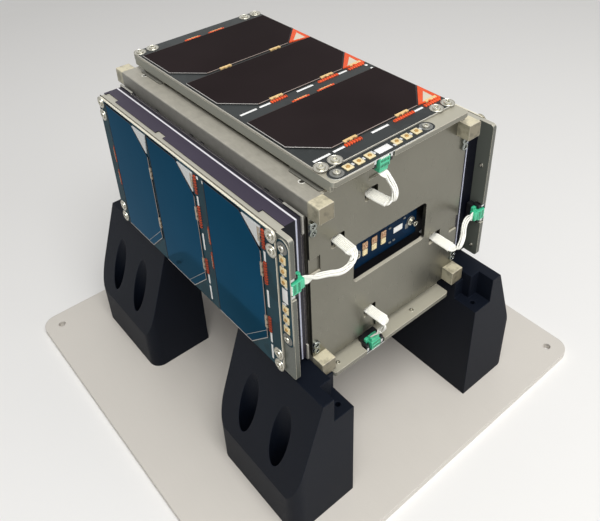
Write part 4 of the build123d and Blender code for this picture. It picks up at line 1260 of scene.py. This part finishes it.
class SATELLITE_OT_window(bpy.types.Operator):
    """Coaxial sockets, power contacts, label and screws of the board behind the front window"""

    bl_idname = "satellite.window"
    bl_label = "Window board"

    def execute(self, context):
        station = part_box("connector_board")[0][1] / MM - FRONT_TIP

        def fit(name, shapes, material, slot, **more):
            """A piece of several shapes on the board's front face."""
            points, faces = joined(shapes)
            add_piece(name, (facing_front(points, station), faces), material, slot, **more)

        square = joined([bevelled(3.4, 4.0, 0.6, 0.3, 0.12), moved(cup(1.2, 0.7, 0.5), (0, 0.1, 0.55))])
        fit("window_sockets", [copies(square, [(x, SOCKET_HEIGHT, 0) for x in WINDOW_COLUMNS])], "copper",
            "gold", replaces=["connector_sockets"])
        contact = joined([
            bevelled(3.1, 3.4, 0.6, 0.25, 0.12),
            *[bevelled(2.3, 0.5, 0.3, 0.2, 0.1, middle=(0, y, 0.55)) for y in (-1.0, 0.0, 1.0)],
        ])
        fit("window_contacts", [copies(contact, [(x, CONTACT_HEIGHT, 0) for x in WINDOW_COLUMNS])],
            "socket_gold_painted_edges", "gold")
        fit("window_label", [bevelled(6.2, 3.4, 0.16, 0.3, 0.04, middle=(9.9, 50.2, 0))], "label",
            "white_film")
        pad = rim(circle(2.6), circle(1.5), 0, 0.12)
        square_pad = bevelled(2.4, 3.0, 0.2, 0.3, 0.08, middle=(16.2, 48.2, 0))
        fit("window_pads", [copies(pad, WINDOW_SCREWS), square_pad], "pad", "gold")
        stud = turned_profile([(2.3, 0, 0), (2.4, 0.15, 0), (2.4, 0.85, 0), (2.2, 1.0, 0), (0.3, 1.0, 0)])
        fit("window_collars", [moved(stud, WINDOW_SCREWS[0])], "washer", "body_metal")
        fit("window_screws", [moved(screw_head(1.5, 3.4, 0.8), (19.0, 50.0, 0)),
                              moved(screw_head(1.4, 1.2, 0.7), WINDOW_SCREWS[1])], "washer", "body_metal")
        fit("window_chips", [copies(bevelled(1.6, 0.8, 0.5, 0.1, 0.06), CHIP_PLACES)], "pad",
            "black_plastic")
        return {"FINISHED"}


# ------------------------------------------------------------------ screws, rims and lips of the body
# Millimetres across from the body's middle, stations, and heights over the rails' underside.
LUG_ENDS = (9.4, 23.8, 101.0, 108.0, LENGTH - 20.4, LENGTH - 9.2)  # where the side frames' lugs start, end
PLATE_SCREW_ACROSS = 48.2
PLATE_SCREW_HEIGHTS = (86.9, 83.4, 15.7, 12.2)
RAIL_HOLE_RADIUS = 1.2
RAIL_HOLE_ACROSS = 42.8
RAIL_HOLE_STATIONS = (19.3, LENGTH - 19.3)
LIP_STATIONS = (18.8, LENGTH - 24.4)
BUMPER_STATIONS = (24.2, 34.2, 84.6, 94.2, 127.3, 152.0)


def both_ways(across, stations, height):
    """Places at both sides of the middle, at each of the stations."""
    return [(s * across, station, height) for s in (-1, 1) for station in stations]


def pack_shoulders(side):
    """The slab's outer edges that fill the gaps between a side frame's lugs, up to its plate."""
    (_, front, _), (half, rear, _) = side_box(f"pack_core_{side}", side)
    low, high = side_box(f"frame_{side}", side)[0][2], bar_face(side) - FRAME_SHEET
    ends = [front, *LUG_ENDS, rear]
    fillers = []
    for near, far in zip(ends[::2], ends[1::2]):
        if far - near > 1:
            filler = plate(rounded_outline(0.7, far - near, 0.02, 1), low, high)
            fillers.append(copies(filler, both_ways(half - 0.35, [(near + far) / 2], 0)))
    return joined(fillers)


class SATELLITE_OT_body(bpy.types.Operator):
    """End plate screws, rims of the rails' holes, panel lips and seams, pack shoulders and bumpers"""

    bl_idname = "satellite.body"
    bl_label = "Body fittings"

    def execute(self, context):
        screw = screw_head(2.1, 1.3, 0.95)
        points, faces = copies(screw, both_ways(PLATE_SCREW_ACROSS, PLATE_SCREW_HEIGHTS, 0))
        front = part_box("end_plate_front")[0][1] / MM - FRONT_TIP
        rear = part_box("end_plate_rear")[1][1] / MM - FRONT_TIP
        for name, place, station in (("front", facing_front, front), ("rear", facing_rear, rear)):
            screws = place(points, station), faces
            add_piece(f"end_plate_screws_{name}", screws, "plate_screw_shade_and_glint", "body_metal")
        # The bright ring stands for the hole's lit inner wall: painted highlight
        ring = rim(circle(RAIL_HOLE_RADIUS + 0.4), circle(RAIL_HOLE_RADIUS), -0.5, 0.06)
        lip = bevelled(3.4, 20.5, 0.9, 1.0, 0.2, steps=5)
        bump = moved(bevelled(2.8, 1.0, 1.1, 0.3, 0.15), (0, 0, 0), 90)
        for side in LEVEL_SIDES:
            holes = both_ways(RAIL_HOLE_ACROSS, RAIL_HOLE_STATIONS, 0)
            add_on_side("rail_hole_highlight_rims", copies(ring, holes), side, "rail_hole_highlight", "body_metal")
            spots = both_ways(half_width("frame", side) - 0.9, LIP_STATIONS, 0)
            add_on_side("panel_lips", copies(lip, spots), side, "lip", "frame_metal")
        for side in UPRIGHT_SIDES:
            (_, front, face), (_, rear, _) = side_box(f"board_{side}", side)
            seam = bevelled(0.5, rear - front, 0.42, 0.12, 0.04)
            spots = both_ways(half_width("frame", side) - 0.22, [(front + rear) / 2], face - 0.48)
            add_on_side("panel_seams", copies(seam, spots), side, "seam", "black_plastic")
            add_on_side("pack_shoulders", pack_shoulders(side), side, "core", "violet_slab")
            spots = both_ways(half_width("pack_tray", side) - 1.6, BUMPER_STATIONS, 0.1)
            add_on_side("pack_bumpers", copies(bump, spots), side, "black", "black_plastic")
        return {"FINISHED"}


# Millimetres in the row frame.
BOLT_ACROSS = 74.5
BOLT_ALONG = (-81.05, -55.65, 55.65, 81.05)
BOLT_SEAT = 16.0


class SATELLITE_OT_stand_bolts(bpy.types.Operator):
    """Socket bolts in the wells of the stand's feet"""

    bl_idname = "satellite.stand_bolts"
    bl_label = "Stand bolts"

    def execute(self, context):
        bolt = screw_head(4.25, 5.0, 2.1, washer=5.2)
        points, faces = copies(bolt, both_ways(BOLT_ACROSS, BOLT_ALONG, BOLT_SEAT))
        add_piece("stand_bolts", (points * MM, faces), "dark_steel", "stand_plastic")
        return {"FINISHED"}


# ------------------------------------------------------------------ leads
# Route points in millimetres in the body frame, and how each lead's row of wires lies at its plug.
LEADS = {
    "top": dict(
        route=[(-14.6, 16.0, 86.5), (-14.6, 3.2, 86.5), (-13.2, -5.4, 86.9), (-10.9, -4.6, 94.6),
               (-12.8, 3.0, 100.3)],
        plug_row=(1, 0, 0)),
    "left": dict(
        route=[(-34.2, 16.0, 72.0), (-34.2, 3.5, 72.0), (-35.2, -6.4, 71.6), (-42.8, -6.8, 67.4),
               (-50.0, -2.6, 68.2), (-57.3, 3.0, 64.9)],
        plug_row=(0, 0, 1)),
    "right": dict(
        route=[(33.2, 16.0, 34.2), (33.2, 3.5, 34.2), (35.0, -6.2, 32.4), (39.8, -5.2, 37.5),
               (43.0, -2.4, 43.6), (49.6, -0.2, 42.8), (57.3, 3.0, 37.4)],
        plug_row=(0, 0, -1)),
    "bottom": dict(
        route=[(-13.6, 16.0, 14.8), (-13.6, 3.6, 14.8), (-12.4, -3.8, 14.4), (-12.6, -2.4, 7.4),
               (-13.8, 3.0, -0.3)],
        plug_row=(-1, 0, 0)),
}
SLOT_ROW = (0.95, 0, 0.3)  # how every lead's row lies at its slot
# Metres along a route.
SLEEVE_START = 0.008
ROW_TURNS = 0.006  # past the sleeve's length, where the row starts to turn
ROW_TURNED = 0.04
LOOSENING = (0.019, 0.024)  # where the flat row becomes a round bundle
GATHERING = (0.007, 0.001)  # before the route's end, where it becomes a flat row again
PAST_THE_END = (1.0, 2.0)
SLEEVE_WALL = 0.00025
SLEEVE_ROUND = 0.0006  # corner radius of the sleeve's section


def smooth_line(name, route):
    """Points along the smooth line that a route's points control, in metres."""
    curve = bpy.data.curves.new(name, "CURVE")
    curve.dimensions = "3D"
    curve.resolution_u = 20
    spline = curve.splines.new("NURBS")
    spline.points.add(len(route) - 1)
    spline.points.foreach_set("co", np.column_stack([route, np.ones(len(route))]).ravel())
    spline.order_u = 3
    spline.use_endpoint_u = True
    holder = bpy.data.objects.new(name, curve)
    mesh = bpy.data.meshes.new_from_object(holder)
    line = np.zeros(len(mesh.vertices) * 3, np.float32)
    mesh.vertices.foreach_get("co", line)
    bpy.data.objects.remove(holder)
    bpy.data.curves.remove(curve)
    bpy.data.meshes.remove(mesh)
    return line.reshape(-1, 3).astype(float)


def line_frames(line, plug_row, turn_from, turn_to):
    """Distance along a line, and two unit vectors across it: the row's direction, which turns from its
    lie at the slot to the one at the plug and is squared up to the line, and the one at right angles
    to it."""
    along = unit(np.gradient(line, axis=0))
    steps = np.linalg.norm(np.diff(line, axis=0), axis=1)
    distance = np.concatenate([[0], np.cumsum(steps)])
    share = smooth_step(distance, turn_from, turn_to)[:, None]
    row = unit(np.array(SLOT_ROW, float)) * (1 - share) + unit(np.array(plug_row, float)) * share
    row = unit(row - (row * along).sum(1, keepdims=True) * along)
    return distance, row, np.cross(along, row)


def swept(line, row, other, outline):
    """Rings of an outline carried along a line: outline[ring, point] is (along the row, across it)."""
    grid = line[:, None] + outline[..., :1] * row[:, None] + outline[..., 1:] * other[:, None]
    return rings(grid)


def wire_bundle(line, settings, plug_row):
    """Round wires beside each other: in one flat row at the slot and at the plug, and in a ring between,
    where wire i wanders by 0.16 of its width times sin(330 s + 2.1 i) at distance s."""
    count = settings.wires
    distance, row, other = line_frames(line, plug_row, settings.sleeve + ROW_TURNS, ROW_TURNED)
    gathering = [distance[-1] - before for before in GATHERING]
    loose = smooth_step(distance, *LOOSENING) * (1 - smooth_step(distance, *gathering))
    angle = np.linspace(0, 2 * math.pi, 10, endpoint=False)
    ring = np.stack([np.cos(angle), np.sin(angle)], axis=-1) * settings.wire / 2
    shapes = []
    for index in range(count):
        flat = np.array([(index - (count - 1) / 2) * settings.wire * 1.02, 0.0])
        turn = 2 * math.pi * index / count + 0.4
        round_spot = np.array([math.cos(turn), math.sin(turn)]) * settings.wire * 1.28
        spot = flat * (1 - loose[:, None]) + round_spot * loose[:, None]
        wander = np.sin(distance * 330 + index * 2.1)[:, None] * loose[:, None] * settings.wire * 0.16
        spot = spot + wander * np.array([1.0, -0.8])
        shapes.append(swept(line, row, other, spot[:, None] + ring[None]))
    return joined(shapes)


def flat_sleeve(line, settings, plug_row):
    """Flat sleeve round the wires from inside the slot: a rounded section whose two flat sides rise and
    fall as a cosine over each wire, and whose cut end flares a little."""
    distance, row, other = line_frames(line, plug_row, *PAST_THE_END)
    end = SLEEVE_START + settings.sleeve
    keep = (distance >= SLEEVE_START) & (distance <= end)
    width = settings.wires * settings.wire + 2 * SLEEVE_WALL
    flare = 1 + 0.06 * smooth_step(distance[keep], SLEEVE_START + settings.sleeve * 0.8, end)
    outline = rounded_outline(width, settings.wire + 2 * SLEEVE_WALL, SLEEVE_ROUND, 4)
    across = np.linspace(-1, 1, 6 * settings.wires + 1)[1:-1]
    ridge = (settings.wire / 2 + SLEEVE_WALL) * (1 - 0.4 * np.cos(math.pi * settings.wires * (across + 1)))
    half = width / 2 - SLEEVE_ROUND
    top = np.column_stack([-across * half, ridge])
    corners = len(outline) // 4
    outline = np.vstack([outline[:corners], top, outline[corners:3 * corners], -top, outline[3 * corners:]])
    return swept(line[keep], row[keep], other[keep], outline * flare[:, None, None])


class SATELLITE_OT_leads(bpy.types.Operator):
    """Short leads from the equipment to the plugs, each a bundle of thin wires with a flat sleeve"""

    bl_idname = "satellite.leads"
    bl_label = "Leads"

    def execute(self, context):
        settings = context.scene.satellite_leads
        for side, data in LEADS.items():
            route = in_body(data["route"])
            line = smooth_line(f"route_{side}", route)
            wires = wire_bundle(line, settings, data["plug_row"])
            lead = add_piece(f"wires_{side}", wires, "wire", "white_wire", replaces=[f"lead_{side}"])
            sleeve = add_piece(f"sleeve_{side}", flat_sleeve(line, settings, data["plug_row"]), "wire",
                               "white_wire")
        return {"FINISHED"}


# ------------------------------------------------------------------ panel, add-on register and main
class SATELLITE_PT_sidebar(bpy.types.Panel):
    """Lists the operators and their settings in the 3D view's sidebar"""

    bl_idname = "SATELLITE_PT_sidebar"
    bl_label = "Satellite"
    bl_space_type = "VIEW_3D"
    bl_region_type = "UI"
    bl_category = "Satellite"

    def draw(self, context):
        for operator in OPERATORS:
            self.layout.operator(operator.bl_idname)
        for name in SETTINGS:
            box = self.layout.box()
            settings = getattr(context.scene, name)
            for key in settings.__annotations__:
                box.prop(settings, key)


SETTINGS = {
    "satellite_finishes": FinishSettings, "satellite_leads": LeadSettings,
    "satellite_panels": PanelSettings, "satellite_stage": StageSettings,
}
OPERATORS = (
    SATELLITE_OT_stage, SATELLITE_OT_finishes, SATELLITE_OT_plugs, SATELLITE_OT_leads,
    SATELLITE_OT_traces, SATELLITE_OT_tabs, SATELLITE_OT_marks, SATELLITE_OT_panel_screws,
    SATELLITE_OT_strips, SATELLITE_OT_window, SATELLITE_OT_body, SATELLITE_OT_stand_bolts,
)


def register():
    """Adds the settings, operators and panel."""
    for name, settings in SETTINGS.items():
        bpy.utils.register_class(settings)
        setattr(bpy.types.Scene, name, PointerProperty(type=settings))
    for operator in OPERATORS:
        bpy.utils.register_class(operator)
    bpy.utils.register_class(SATELLITE_PT_sidebar)


def unregister():
    """Removes them again."""
    bpy.utils.unregister_class(SATELLITE_PT_sidebar)
    for operator in reversed(OPERATORS):
        bpy.utils.unregister_class(operator)
    for name, settings in SETTINGS.items():
        delattr(bpy.types.Scene, name)
        bpy.utils.unregister_class(settings)


def main():
    """Runs every operator in order."""
    register()
    for operator in OPERATORS:
        domain, name = operator.bl_idname.split(".")
        getattr(getattr(bpy.ops, domain), name)()


if __name__ == "__main__":
    main()
